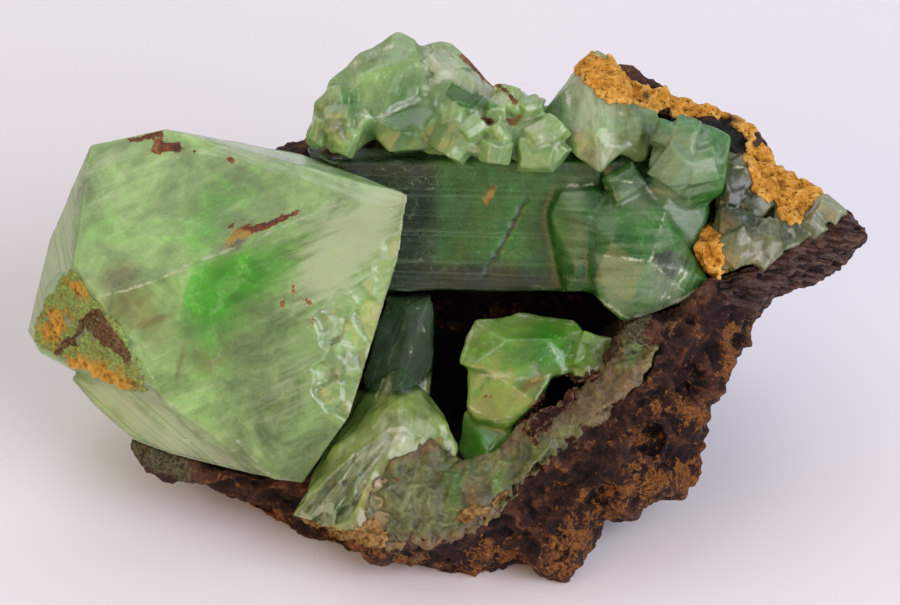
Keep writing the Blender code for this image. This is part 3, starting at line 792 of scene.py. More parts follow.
    # Broken places: angular fragments, each with its own tone.
    broken = add(tree, "Attribute", out="Fac", attribute_name="broken")
    shards = add(tree, "TexVoronoi", {"Vector": bent, "Scale": per(1.3)}, out="Color")
    pale = add(tree, "Math", (add(tree, "MapRange", (shards, 0.4, 1.0)), broken), operation="MULTIPLY")
    colour = lay(tree, colour, milk, pale, 0.0, 1.0, 0.8)
    dim = add(tree, "Math", (add(tree, "MapRange", (shards, 0.4, 0.0)), broken), operation="MULTIPLY")
    colour = lay(tree, colour, linear("#5d7551"), dim, 0.0, 1.0, 0.6)
    # Bright lines where an edge or a cleavage step catches the light.
    colour = lay(tree, colour, linear("#eef4e2"), uneven(tree, "glint", mottle, 1.1), -0.1, 0.12, 0.7)
    # Iron oxide on the faces, from red-brown to ochre, with torn borders.
    rust = add(
        tree, "ValToRGB", {"Fac": add(tree, "MapRange", (uneven(tree, "tinted", mottle, 1.8), -0.3, 0.5))},
        stops=((0.1, linear("#300f06")), (0.9, linear("#9c863f")), (0.5, linear("#70381a"))),
    )
    torn = add(tree, "Math", (grain, 0.5, mottle), operation="MULTIPLY_ADD")
    stain = add(
        tree, "MapRange", (uneven(tree, "stain", torn, 1.6), 0.32, 0.46), interpolation_type="SMOOTHSTEP"
    )
    colour = lay(tree, colour, rust, stain, 0.0, 1.0)
    gloss = add(tree, "MapRange", (mottle, 0.3, 0.7, rough * 0.5, rough * 1.5))
    gloss = add(tree, "Mix", {0: stain, 2: gloss, 3: 0.8}, data_type="FLOAT")
    shaded = add(tree, "MapRange", (add(tree, "Attribute", out="Fac", attribute_name="heart"), 1.3, 1.6))
    gloss = add(tree, "Mix", {0: shaded, 2: gloss, 3: 0.7}, data_type="FLOAT")
    see_through = add(tree, "MapRange", (stain, 0.0, 0.6, clear, 0.0))
    # Low relief: etched faces, and stripes.
    height = add(
        tree, "Math", (stripes, add(tree, "Math", (stored, 1.5), operation="MULTIPLY")), operation="MULTIPLY"
    )
    height = add(tree, "Math", (mottle, 0.8, height), operation="MULTIPLY_ADD")
    height = add(tree, "Math", (grain, grainy, height), operation="MULTIPLY_ADD")
    normal = add(tree, "Bump", {"Height": height, "Strength": 0.8, "Distance": relief * MM})
    surface = add(
        tree, "BsdfPrincipled",
        {
            "Base Color": colour, "Roughness": gloss, "IOR": 1.88, "Specular IOR Level": lustre,
            "Normal": normal, "Transmission Weight": see_through, "Subsurface Weight": 0.7,
            "Subsurface Radius": (0.8, 1.0, 0.6), "Subsurface Scale": 2.2 * MM,
        },
    )
    inside = add(tree, "VolumeAbsorption", {"Color": absorbed, "Density": density})
    add(tree, "OutputMaterial", {"Surface": surface, "Volume": inside})
    return material


def gossan():
    """Gossan, the rusty cap of a weathered ore body: crumbly iron oxide, so rough and dull, with torn ochre
    patches and layered streaks on the wing. Its browns go from purple-black in its hollows to red-brown where
    it stands proud, partly its own colour and partly painted shade in the hollows and painted light on proud
    parts; painted shade also darkens the crystal hollow and the shaded parts of the flank and wing."""
    colours = bpy.context.scene.rock_colours
    material, tree = new_material("gossan_broken")
    where = add(tree, "TexCoord", out="Object")
    broad = add(
        tree, "TexNoise", {"Vector": where, "Scale": per(6), "Detail": 5, "Roughness": 0.6, "Distortion": 0.5}
    )
    mid = add(
        tree, "TexNoise",
        {"Vector": where, "Scale": per(2.2), "Detail": 5, "Roughness": 0.75, "Distortion": 0.4}
    )
    crumb = add(tree, "TexNoise", {"Vector": where, "Scale": per(0.42), "Detail": 3, "Roughness": 0.75})
    # The wing is bedded: its noise is drawn out along the beds.
    turned = add(tree, "Mapping", {"Vector": where, "Rotation": (0.0, 0.33, 0.1)}, vector_type="TEXTURE")
    bedded = add(tree, "VectorMath", (turned, (per(6.0), per(0.6), per(0.6))), operation="MULTIPLY")
    layers = add(tree, "TexNoise", {"Vector": bedded, "Scale": 1.0, "Detail": 4, "Roughness": 0.7})
    on_wing = add(tree, "Attribute", out="Fac", attribute_name="layered")
    pattern = add(tree, "Mix", {0: on_wing, 2: mid, 3: layers}, data_type="FLOAT")
    # Tone: torn patches of the three browns, lighter where the rock stands proud and darker in its hollows,
    # which is partly painted light and painted shade.
    tone = add(tree, "Attribute", out="Fac", attribute_name="proud")
    tone = add(tree, "Math", (tone, 0.6, pattern), operation="MULTIPLY_ADD")
    tone = add(tree, "Math", (crumb, 0.6, tone), operation="MULTIPLY_ADD")
    colour = add(
        tree, "ValToRGB", {"Fac": add(tree, "MapRange", (tone, 0.55, 1.1))},
        stops=((0.14, tuple(colours.dark)), (0.9, tuple(colours.rust)), (0.5, tuple(colours.brown))),
    )
    colour = lay(tree, colour, linear("#2b1a20"), broad, 0.5, 0.6, 0.6)
    # Earthy ochre in the painted places and in a few others, with torn borders.
    torn = add(tree, "Math", (crumb, 0.35, pattern), operation="MULTIPLY_ADD")
    earthy = lay(tree, linear("#6f3f1a"), tuple(colours.ochre), crumb, 0.38, 0.62)
    earthy = lay(tree, earthy, linear("#cfa25c"), crumb, 0.62, 0.72, 0.6)
    colour = lay(tree, colour, earthy, uneven(tree, "ochre", torn, 4.4), 0.85, 1.2, 0.92)
    colour = lay(
        tree, colour, linear("#75625c"), add(tree, "Math", (layers, on_wing), operation="MULTIPLY"),
        0.42, 0.62, 0.7
    )
    # Grey-green film next to the crystals, and slate-grey rock by the rim.
    film = lay(tree, linear("#2b2f1e"), linear("#7a7c58"), crumb, 0.32, 0.68)
    colour = lay(tree, colour, film, uneven(tree, "film", torn, 2.6), 0.55, 1.1, 0.9)
    slate = lay(tree, linear("#17191a"), tuple(colours.slate), crumb, 0.3, 0.7)
    colour = lay(tree, colour, slate, uneven(tree, "slate", mid, 2.0), -0.2, 0.25)
    # Dust on the grain tops, partly a painted highlight, and dark pits between them, partly painted shade.
    # Then painted shade: near black in the crystal hollow, and darker on the shaded left of the flank and on
    # the wing's shaded face.
    colour = lay(tree, colour, linear("#a08468"), crumb, 0.66, 0.76, 0.28)
    colour = lay(tree, colour, linear("#070404"), crumb, 0.36, 0.26, 0.8)
    shade = add(tree, "Attribute", out="Fac", attribute_name="hollow")
    colour = lay(tree, colour, linear("#050805"), shade, 0.0, 1.0, 0.95)
    height = add(tree, "Math", (pattern, 1.2, crumb), operation="MULTIPLY_ADD")
    normal = add(tree, "Bump", {"Height": height, "Strength": 1.0, "Distance": 0.8 * MM})
    gloss = add(tree, "MapRange", (crumb, 0.3, 0.7, 0.45, 0.85))
    surface = add(
        tree, "BsdfPrincipled",
        {"Base Color": colour, "Roughness": gloss, "IOR": 1.7, "Specular IOR Level": 0.15, "Normal": normal},
    )
    add(tree, "OutputMaterial", {"Surface": surface})
    return material


def earthy_crust(
    name, low, middle, high, speck, grain=0.4, speckled=0.64, ground="#6d5a35", marked="#3a2420"
):
    """Limonite, earthy iron hydroxide: a dull granular crust of small grains with dark pits between them. Its
    tone is lighter where it stands proud and darker in its hollows, partly by painted light and painted
    shade. It thins out to its ground colour in one painted layer, and takes a second mineral's colour in
    another."""
    material, tree = new_material(name)
    where = add(tree, "TexCoord", out="Object")
    lumps = add(tree, "TexNoise", {"Vector": where, "Scale": per(1.7), "Detail": 5, "Roughness": 0.75})
    grains = add(tree, "TexNoise", {"Vector": where, "Scale": per(grain), "Detail": 3, "Roughness": 0.72})
    # Tone: lighter where the crust stands proud and darker in its hollows, partly painted light and painted
    # shade.
    tone = add(tree, "Attribute", out="Fac", attribute_name="proud")
    tone = add(tree, "Math", (tone, 1.4, lumps), operation="MULTIPLY_ADD")
    tone = add(tree, "Math", (grains, 0.6, tone), operation="MULTIPLY_ADD")
    colour = add(
        tree, "ValToRGB", {"Fac": add(tree, "MapRange", (tone, 0.45, 1.15))},
        stops=((0.1, linear(low)), (0.9, linear(high)), (0.5, linear(middle))),
    )
    thin = lay(tree, linear(ground), linear(low), grains, 0.6, 0.42, 0.6)
    colour = lay(tree, colour, thin, uneven(tree, "thin", lumps, 2.0), 0.3, 0.7)
    second = lay(tree, linear(marked), linear(speck), grains, 0.55, 0.4, 0.8)
    colour = lay(tree, colour, second, uneven(tree, "marked", lumps, 1.6), 0.3, 0.7, 0.9)
    dots = add(tree, "TexNoise", {"Vector": where, "Scale": per(0.6), "Detail": 4, "Roughness": 0.65})
    colour = lay(tree, colour, linear(speck), dots, speckled, speckled + 0.05, 0.85)
    height = add(tree, "Math", (grains, 0.7, lumps), operation="MULTIPLY_ADD")
    normal = add(tree, "Bump", {"Height": height, "Strength": 1.0, "Distance": 0.3 * MM})
    gloss = add(tree, "MapRange", (lumps, 0.3, 0.7, 0.7, 0.95))
    surface = add(
        tree, "BsdfPrincipled",
        {"Base Color": colour, "Roughness": gloss, "IOR": 1.5, "Specular IOR Level": 0.25, "Normal": normal},
    )
    add(tree, "OutputMaterial", {"Surface": surface})
    return material


# ---------------------------------------------------------------- pieces


# Every layer that paint() gives a piece, so that a crust copied from it can be rid of them.
PAINTED = (
    "heart", "milky", "tinted", "stain", "broken", "glint", "edge", "across", "along", "striped", "proud",
    "ochre", "layered", "film", "hollow", "slate", "thin", "marked",
)


def settle_crystals(
    piece, edges, slot, nodes, material, hearts=(), milks=(), tints=(), stains=(), glints=(), broken=(),
    run=(1.0, 0.0), striped=0.1, stripes=(),
):
    """Paints a crystal piece's zones and marks, gives it its material, and settles it in place of its CAD
    nodes. Its stripes run this way across the side, and each of stripes is (outline, way, strength) for a
    face of its own."""
    points = points_of(piece)
    places, front = side_places(points), facing(piece)
    out = outness(points)
    across = places @ (-run[1], run[0]) / math.hypot(*run) + 0.5 * out
    along = places @ run / math.hypot(*run)
    seen = 0.3 + 0.7 * front
    strength = np.full(len(points), striped)
    for outline, way, amount in stripes:
        inside = depth_in(places, outline) > 0
        across = np.where(inside, places @ (-way[1], way[0]) / math.hypot(*way), across)
        along = np.where(inside, places @ way / math.hypot(*way), along)
        strength = np.where(inside, amount, strength)
    paint(
        piece, heart=zones(places, hearts), milky=zones(places, milks) * seen,
        tinted=zones(places, tints) * seen, stain=np.where(front > 0.3, marks(places, stains), OFF_MARK),
        broken=zones(places, broken) * front, glint=np.where(front > 0.3, marks(places, glints), OFF_MARK),
        edge=reach(points / MM, *edges), across=across, along=along, striped=strength * seen,
    )
    piece.data.materials.append(material)
    place(piece, slot, *nodes)


class SPECIMEN_OT_main_crystal(bpy.types.Operator):
    """Builds the large pale crystal on the left, with its recessed broken band, lower plate and stains"""

    bl_idname = "specimen.main_crystal"
    bl_label = "Main Crystal"

    def execute(self, context):
        sizes, colours = context.scene.specimen_sizes, context.scene.crystal_colours
        piece, edges = crystal_from(
            "main_crystal", "main_crystal_body", sizes.crystal_cell, sizes.edge_wear, bend=0.08, rounding=1,
            swell=0.02
        )
        points = points_of(piece)
        places, front = side_places(points), facing(piece)
        band = share_in(wandering(places, 0.3, 2.3), BROKEN_BAND, 0.2, start=0.0) * front
        plate = share_in(wandering(places, 0.12, 3.1), PLATE, 0.25, start=0.0) * front
        bevel = share_in(places, BEVEL_BAND, 2.5, start=0.0) * front
        shards = facets(places, 1.7, 0.3, 11) + 0.4 * facets(places, 0.8, 0.25, 12)
        step = (
            band * np.maximum(0.45 + shards, 0.05) + plate * (0.7 + heave(points, (2.5, 0.2))) + 0.6 * bevel
        )
        press_in(piece, step)
        cut = share_in(wandering(places, 0.1, 1.7), RIGHT_OF_CUT, 0.4)
        beyond_cut = cut * zones(
            places, ((-24.5, 30.5, 5.0, 4.4, 35, 0.95), (-20.0, 33.0, 4.5, 2.2, 30, 0.5))
        )
        material = anglesite(
            "anglesite_pale_clouded", tuple(colours.pale), tuple(colours.deep), tuple(colours.milk),
            tuple(colours.olive), linear("#b8e480"), 26.0, rough=0.18, clear=0.55, relief=0.15, blocky=0.08,
            block=5.0, wispy=0.22, grainy=0.07, mottled=0.3,
        )
        settle_crystals(
            piece, edges, "pale_green_anglesite", ("main_crystal",), material,
            # The green heart is a colour zone of the crystal, painted brighter than the body too: partly
            # painted glow, for light that shines through it.
            hearts=(
                beyond_cut, (-23.0, 31.5, 3.6, 2.2, 35, 0.35), (-25.0, 36.5, 3.4, 1.4, 20, 0.4),
                (-23.5, 41.0, 6.0, 2.4, 15, 0.5), (-37.5, 38.0, 2.2, 2.0, 0, 0.3),
                (-34.0, 36.5, 5.0, 1.6, 15, 0.2), (-26.0, 38.0, 4.0, 1.5, 25, 0.25), (-16.5, 35.0, 2.4, 0.3),
                (-25.5, 23.0, 3.5, 0.22), (-18.0, 45.3, 2.0, 0.8, -20, 0.35),
            ),
            milks=(
                (-10.5, 36.0, 5.0, 3.2, 35, 1.3), (-13.0, 32.0, 4.4, 2.4, 40, 0.8),
                (-16.0, 21.0, 5.0, 3.0, 40, 0.35), (-34.0, 42.0, 5.0, 2.4, 10, 0.3),
                (-35.0, 45.0, 5.0, 2.0, 10, 0.3), (-7.0, 39.5, 2.2, 0.5), (LEFT_FACE, 0.6, 0.95),
                (PLATE, 0.6, 0.8), (BEVEL_BAND, 0.5, 0.4), (-36.5, 30.2, 2.0, 0.6, 18, 0.6),
                (-31.5, 24.5, 2.0, 0.5, -50, 0.3), (-20.0, 16.0, 3.0, 0.8, 30, 0.25),
                (-22.0, 32.6, 1.2, 0.35, -60, 0.4), (-27.5, 38.0, 2.0, 0.3, -20, 0.35),
            ),
            tints=(
                (-22.4, 35.9, 1.8, 0.9, 30, 0.9), (-25.5, 23.0, 3.4, 2.6, 30, 0.6),
                (-33.5, 29.0, 3.4, 2.4, 20, 0.9), (-30.5, 26.0, 2.6, 2.0, 60, 0.45),
                (-34.8, 32.6, 3.2, 1.7, 20, 0.8), (-31.0, 27.6, 2.4, 0.35, 18, 0.5),
                (-28.4, 22.8, 2.6, 0.3, 75, 0.5), (-13.0, 21.0, 5.0, 0.2), (-33.0, 19.5, 3.0, 0.5, -40, 0.35),
            ),
            stains=(
                [(-34.5, 46.8), (-32.6, 47.2), (-30.4, 47.9), (-30.2, 47.1), (-31.3, 46.8), (-33.4, 46.5)],
                [
                    (-30.9, 46.9), (-30.2, 46.6), (-29.2, 46.5), (-28.4, 46.5), (-28.1, 45.8), (-28.7, 45.2),
                    (-29.8, 45.5), (-30.6, 45.2), (-31.6, 45.4), (-31.3, 46.0),
                ],
                [(-27.4, 45.8), (-26.6, 45.5), (-27.0, 45.1), (-27.8, 45.3)], WEDGE,
                ((-23.1, 37.4), (-22.7, 37.7), 0.2), ((-23.2, 44.6), (-22.9, 44.4), 0.2),
                ((-6.2, 39.2), (-6.1, 39.0), 0.12), ((-16.6, 31.9), (-16.3, 30.6), 0.04),
                ((-17.6, 29.5), (-17.1, 30.0), 0.1), ((-15.4, 30.1), (-14.7, 29.5), 0.07),
                ((-17.4, 28.6), (-16.9, 28.2), 0.04), ((-14.4, 28.0), (-14.6, 27.0), 0.04),
                ((-21.8, 17.0), (-21.6, 16.9), 0.06), ((-17.3, 30.6), (-17.5, 29.2), 0.03),
                ((-16.9, 27.4), (-16.4, 27.8), 0.03), ((-33.2, 18.8), (-27.5, 14.6), -0.15),
            ),
            glints=(
                *line((-36.5, 30.2), (-34.2, 30.7), (-30.9, 31.7), (-27.0, 33.6), (-22.6, 35.2), width=0.08),
                *line((-22.6, 35.2), (-19.3, 36.6), (-15.5, 38.3), (-10.5, 40.2), width=0.05),
                *line((-33.4, 25.9), (-30.9, 21.2), width=0.04),
                *line((-30.5, 20.0), (-26.8, 15.8), width=0.03),
                *line((-22.4, 15.0), (-18.8, 11.2), width=0.05),
            ),
            broken=((BROKEN_BAND, 0.3, 0.7), (-11.5, 24.0, 2.6, 0.4), (BEVEL_BAND, 1.0, 0.4)),
            run=(0.92, 0.42), striped=0.12,
            stripes=(
                (LEFT_FACE, (-0.25, 1.0), 1.0), (PLATE, (0.72, -0.62), 0.9),
                (BEVEL_BAND, (0.94, -0.34), 0.35),
            ),
        )
        return {"FINISHED"}


class SPECIMEN_OT_bridge_crystals(bpy.types.Operator):
    """Builds the dark striated prism that bridges the hollow, and the milky facets at its right end"""

    bl_idname = "specimen.bridge_crystals"
    bl_label = "Bridge Crystals"

    def execute(self, context):
        sizes, colours = context.scene.specimen_sizes, context.scene.crystal_colours
        piece, edges = crystal_from(
            "bridge_crystals", "bridge_prism", sizes.crystal_cell, sizes.edge_wear, bend=0.12, rounding=1,
            swell=0.08, fill=0.9,
            blocks=(
                ([(15.6, 43.6), (20.5, 43.4), (21.0, 41.8), (16.5, 41.0)], 5, 3.2, 4.6, 6, 0.6, 0.15),
                ([(25.5, 41.0), (29.5, 42.5), (29.5, 37.5), (27.5, 36.5)], 6, 2.6, 4.2, 8, 0.6, 0.2),
                ([(22.0, 46.8), (26.6, 47.0), (27.4, 44.0), (23.0, 43.0)], 4, 3.4, 4.6, 12, 0.6, 0.1),
            ),
        )
        crack = [(8.1, 40.6), (6.0, 36.4)], [(6.0, 36.4), (3.7, 32.5)]
        near = reach(wandering(side_places(points_of(piece)), 0.15, 4.0), *crack)
        press_in(piece, 0.35 * groove(near, 0.18) * facing(piece))
        material = anglesite(
            "anglesite_deep_green", tuple(colours.bridge), tuple(colours.bridge_dark), tuple(colours.grey),
            linear("#5a5a38"), linear("#74b84e"), 60.0, rough=0.28, clear=0.3, cloud=8.0, worn=0.5,
            blocky=0.08, block=5.0, wispy=0.25, bright="#9dbd8c", lustre=0.2,
        )
        settle_crystals(
            piece, edges, "deep_green_anglesite", ("bridge_crystals",), material,
            # The prism's dark left end, behind and below its neighbours, is painted shade in the heart layer,
            # in the shaded anglesite colour.
            hearts=(
                ([(-16, 47), (-2.0, 46), (-3.5, 30), (-16, 30)], 4.0, 1.2), (18.5, 42.5, 3.0, 0.5),
                (DARK_FACET, 0.2, 1.1), (3.0, 31.6, 9.0, 1.9, 0, 1.5),
                (7.05, 38.5, 2.2, 0.17, 63, 1.4), (4.85, 34.45, 2.2, 0.15, 59, 1.4), (24.5, 40.0, 2.5, 0.4),
                (-0.5, 38.0, 4.0, 4.0, 0, 0.35), (14.2, 36.5, 0.3, 4.0, 0, 0.5),
                (15.3, 35.0, 0.25, 5.0, 0, 0.7),
            ),
            milks=(
                (BRIDGE_FACETS, 1.0, 0.3),
                ([(15.3, 34.5), (21.0, 33.8), (24.5, 30.5), (21.5, 27.6), (17.0, 28.4)], 0.4, 0.5),
                (12.9, 41.0, 1.6, 0.8), (13.5, 36.5, 1.6, 3.6, 0, 0.45), (24.5, 44.5, 3.6, 1.5),
                (19.5, 40.0, 2.4, 1.2, -30, 0.4), (23.5, 31.5, 2.0, 0.9, 40, 0.4),
                ([(-15.6, 46.8), (-2.4, 46.3), (-2.4, 45.2), (-14.0, 44.8)], 0.4, 0.6),
                (7.0, 44.5, 5.0, 0.6, 0, 0.3),
            ),
            tints=((4.0, 41.0, 1.2, 0.4), (0.0, 31.0, 6.0, 0.8, 0, 0.3)),
            stains=(
                ((4.0, 40.3), (4.5, 41.6), 0.35),
                [(-13.6, 45.5), (-13.0, 46.2), (-11.6, 46.1), (-11.3, 45.4), (-12.6, 44.9)],
            ),
            glints=(
                *line((12.5, 41.9), (15.0, 42.0), width=0.14),
                *line((15.3, 34.6), (21.0, 33.8), (24.6, 30.6), width=0.05),
                *line((15.4, 30.1), (18.6, 27.9), (20.8, 28.2), (24.9, 30.1), (27.1, 31.9), width=0.12),
                *line((22.2, 29.9), (24.3, 33.0), width=0.08), *line((22.9, 30.0), (24.9, 32.8), width=0.08),
                *line((14.8, 39.6), (17.0, 42.4), (20.5, 42.0), (22.6, 39.0), (21.0, 33.8), width=0.03),
                *line((-2.8, 45.5), (4.2, 45.7), width=0.04),
            ),
            run=(1.0, 0.0), striped=0.35, stripes=(
                (BRIDGE_FACETS, (1.0, 0.0), 0.15),
                ([(21.0, 33.8), (24.0, 36.0), (28.5, 35.0), (27.0, 29.0), (22.0, 27.0)], (0.5, 1.0), 0.4),
            ),
        )
        return {"FINISHED"}


class SPECIMEN_OT_top_crystals(bpy.types.Operator):
    """Builds the grey-green crystals that stand above the prism on both sides"""

    bl_idname = "specimen.top_crystals"
    bl_label = "Top Crystals"

    def execute(self, context):
        sizes = context.scene.specimen_sizes
        material = anglesite(
            "anglesite_grey_green", linear("#9bbf78"), linear("#4a8a33"), linear("#dce8c9"),
            linear("#8f8450"), linear("#a8dc80"), 50.0, rough=0.2, clear=0.45, cloud=4.0, worn=0.3,
            blocky=0.2, block=2.6, wispy=0.12, mottled=0.2,
        )
        piece, edges = crystal_from(
            "top_left_crystals", "top_left_cluster", sizes.small_cell, sizes.edge_wear, bend=0.3, rounding=3,
            swell=0.18, fill=1.1,
            blocks=((SMALL_ROW, 22, 1.9, 3.4, 4, 1.1, 0.12), (LEFT_SMALL, 8, 2.0, 3.0, 7, 0.8, 0.15)),
        )
        places = side_places(points_of(piece))
        silver = share_in(places, SILVERY_TOP, 0.3) * facing(piece)
        press_in(piece, silver * (0.3 + facets(places, 1.6, 0.35, 31)))
        settle_crystals(
            piece, edges, "grey_green_anglesite", ("top_left_crystals",), material,
            hearts=(
                (-5.0, 48.3, 2.8, 0.9), (-10.6, 51.0, 1.6, 0.6), (-4.5, 52.0, 2.0, 0.4),
                (-12.0, 49.5, 1.2, 0.3),
                ([(0.2, 52.9), (2.1, 51.9), (5.3, 50.6), (4.4, 49.8), (1.1, 50.2), (-0.5, 51.7)], 0.5, 1.5),
                (1.5, 47.0, 3.0, 1.0, 0, 0.35),
            ),
            milks=(
                (SILVERY_TOP, 0.6, 0.7), (-10.5, 55.0, 2.5, 1.0, 40, 0.5), (-8.0, 50.0, 2.4, 1.6, 20, 0.3),
                (6.5, 48.0, 5.0, 1.8, 0, 0.45), (-13.0, 49.0, 2.0, 0.5), (-6.8, 56.4, 1.2, 0.5),
            ),
            tints=(
                (-12.0, 47.6, 2.5, 0.6), (8.5, 49.0, 2.0, 0.3), (-8.8, 55.2, 1.0, 0.5),
                (-1.5, 54.5, 1.4, 0.5), (-2.0, 57.0, 1.6, 0.5), (10.0, 47.0, 1.6, 0.35),
            ),
            stains=(
                *line((1.4, 55.9), (2.9, 54.4), (4.4, 53.2), (5.8, 51.9), (6.9, 50.7), width=0.3),
                ((3.4, 48.9), (4.2, 48.6), 0.3),
                [(5.6, 49.2), (6.6, 48.9), (7.6, 49.3), (7.0, 48.4), (6.4, 48.2)],
            ),
            glints=(
                *line((-10.0, 54.5), (-9.7, 51.5), (-9.6, 49.6), width=0.03),
                *line((-9.6, 49.5), (-8.4, 49.0), (-6.3, 49.5), (-4.7, 50.7), width=0.07),
                *line((-7.0, 56.6), (-6.2, 56.8), width=0.16), *line((-2.3, 56.0), (-0.4, 54.0), width=0.05),
            ),
            broken=((SILVERY_TOP, 0.4, 0.7),),
            run=(0.5, 0.87), striped=0.15, stripes=((SILVERY_TOP, (0.75, -0.66), 0.7),),
        )
        piece, edges = crystal_from(
            "top_right_crystals", "top_right_peak", sizes.small_cell, sizes.edge_wear, bend=0.4, rounding=10,
            swell=0.25, fill=1.2,
        )
        settle_crystals(
            piece, edges, "grey_green_anglesite", ("top_right_crystals",), material,
            hearts=((11.3, 50.5, 1.8, 0.7), (20.5, 47.5, 2.0, 0.4), (13.5, 46.0, 1.6, 0.4)),
            milks=(
                (15.0, 49.5, 3.0, 0.8), (16.5, 45.0, 2.0, 0.6), (21.0, 47.0, 2.2, 0.3),
                (13.5, 53.0, 1.4, 0.5),
            ),
            tints=((13.0, 47.5, 1.6, 0.6), (17.8, 46.5, 1.4, 0.6), (18.2, 50.0, 1.4, 0.6)),
            glints=(*line((12.4, 51.8), (12.7, 50.2), width=0.15),), run=(0.3, 1.0), striped=0.15,
        )
        return {"FINISHED"}


class SPECIMEN_OT_wall_crystals(bpy.types.Operator):
    """Builds the yellow-green slab and the glassy grey tip on the right wall"""

    bl_idname = "specimen.wall_crystals"
    bl_label = "Wall Crystals"

    def execute(self, context):
        sizes = context.scene.specimen_sizes
        material = anglesite(
            "anglesite_yellow_green", linear("#70784a"), linear("#36492f"), linear("#a2ab90"),
            linear("#86743a"), linear("#a5b278"), 80.0, rough=0.25, clear=0.3, cloud=3.5, worn=0.25,
            blocky=0.25, block=2.2, wispy=0.2, mottled=0.2, bright="#c2cbb2",
        )
        piece, edges = crystal_from(
            "wall_crystals", "wall_slab", sizes.small_cell, sizes.edge_wear, bend=0.3, rounding=4, swell=0.25,
            fill=0.8, blocks=(
                (
                    [(28.5, 45.5), (31.0, 45.5), (33.0, 40.5), (31.0, 36.5), (28.5, 38.0)],
                    14, 2.0, 3.6, 5, 0.6,
                ),
                (
                    [(30.5, 38.5), (36.0, 38.5), (41.0, 40.5), (40.0, 37.5), (33.0, 34.5), (29.5, 34.5)],
                    12, 2.0, 3.6, 9, 0.4,
                ),
            ),
        )
        settle_crystals(
            piece, edges, "grey_green_anglesite", ("wall_crystals",), material,
            hearts=((30.5, 41.0, 2.6, 1.0), (31.5, 38.0, 2.0, 0.6), (36.0, 37.0, 2.0, 0.6)),
            milks=((40.0, 39.5, 2.4, 0.9), (30.0, 35.0, 2.0, 0.4)),
            tints=((32.0, 35.0, 2.6, 0.6), (28.8, 34.0, 1.4, 0.6)),
            glints=(*line((30.0, 43.8), (31.6, 43.9), width=0.12),),
            run=(0.3, 1.0), striped=0.25,
        )
        return {"FINISHED"}


class SPECIMEN_OT_foot_crystals(bpy.types.Operator):
    """Builds the glassy broken crystal below the hollow and the dark one behind it"""

    bl_idname = "specimen.foot_crystals"
    bl_label = "Foot Crystals"

    def execute(self, context):
        sizes = context.scene.specimen_sizes
        material = anglesite(
            "anglesite_glassy", linear("#9ab562"), linear("#1f4a12"), linear("#d6e3c2"), linear("#bda872"),
            linear("#9fcc70"), 60.0, rough=0.12, clear=0.4, cloud=4.0, worn=0.25, blocky=0.1, block=3.0,
            wispy=0.1, mottled=0.24, relief=0.16,
        )
        piece, edges = crystal_from(
            "foot_crystals", "foot_glassy", sizes.small_cell, sizes.edge_wear, bend=0.5, rounding=20,
            swell=0.3
        )
        places = side_places(points_of(piece))
        silver = share_in(places, SILVER_FACE, 0.3) * facing(piece)
        slivers = places @ np.array(((0.78, 0.62), (-0.62, 0.78))) * (2.2, 1.0)
        press_in(piece, silver * (0.3 + facets(slivers, 1.6, 0.3, 21)))
        settle_crystals(
            piece, edges, "grey_green_anglesite", ("foot_crystals",), material,
            hearts=(
                (BACK_CRYSTAL, 1.5, 2.1), (SILVER_FACE, 0.6, 0.6), (-9.5, 18.0, 3.0, 1.4, 55, 0.6),
                (-2.0, 19.5, 1.6, 0.5), (-13.0, 11.5, 3.0, 0.6, 45, 0.4),
            ),
            milks=(
                (-6.0, 15.6, 2.8, 1.6, 30, 0.9), (-2.6, 16.2, 1.8, 1.0, -40, 0.6), (SILVER_FACE, 0.5, 0.25),
                (-6.8, 20.5, 1.0, 0.4), (-9.5, 15.5, 2.4, 0.8, 50, 0.35),
            ),
            tints=(
                (-5.0, 9.0, 4.0, 0.8), (-1.6, 12.8, 2.0, 0.7), (-8.0, 6.0, 2.4, 0.8),
                (-7.0, 11.0, 1.4, 0.4, 40, 0.6), (-14.0, 6.0, 3.0, 0.6, -10, 0.7),
            ),
            stains=(
                ((-2.4, 14.6), (-1.2, 15.2), 0.15), ((-3.2, 13.4), (-2.6, 13.9), 0.0),
                ((-15.0, 6.3), (-11.0, 5.6), 0.1), ((-7.4, 11.6), (-5.6, 13.4), -0.1),
                ((-9.2, 8.0), (-8.4, 10.4), 0.0), ((-5.0, 9.0), (-4.4, 8.4), 0.0),
            ),
            glints=(
                *line((-15.8, 8.3), (-12.0, 12.0), (-8.0, 15.0), width=0.02),
                *line((-6.3, 16.2), (-4.6, 16.4), width=0.22), *line((-5.6, 15.4), (-5.0, 15.2), width=0.2),
                *line((-3.4, 15.8), (-3.1, 15.6), width=0.14), *line((-7.8, 19.6), (-7.0, 21.4), width=0.04),
                *line((-6.4, 21.0), (-6.0, 22.2), width=0.02), *line((-4.0, 25.2), (-4.4, 23.0), width=0.04),
                *line((-2.9, 27.0), (-2.7, 26.4), width=0.08),
            ),
            broken=((SILVER_FACE, 0.4, 0.7), (-5.5, 16.2, 2.2, 1.6, 20, 0.6), (-7.0, 20.5, 1.4, 0.6)),
            run=(0.6, 0.8), striped=0.1,
            stripes=((SILVER_FACE, (0.62, 0.78), 0.45), (BACK_CRYSTAL, (0.3, 1.0), 0.0)),
        )
        return {"FINISHED"}


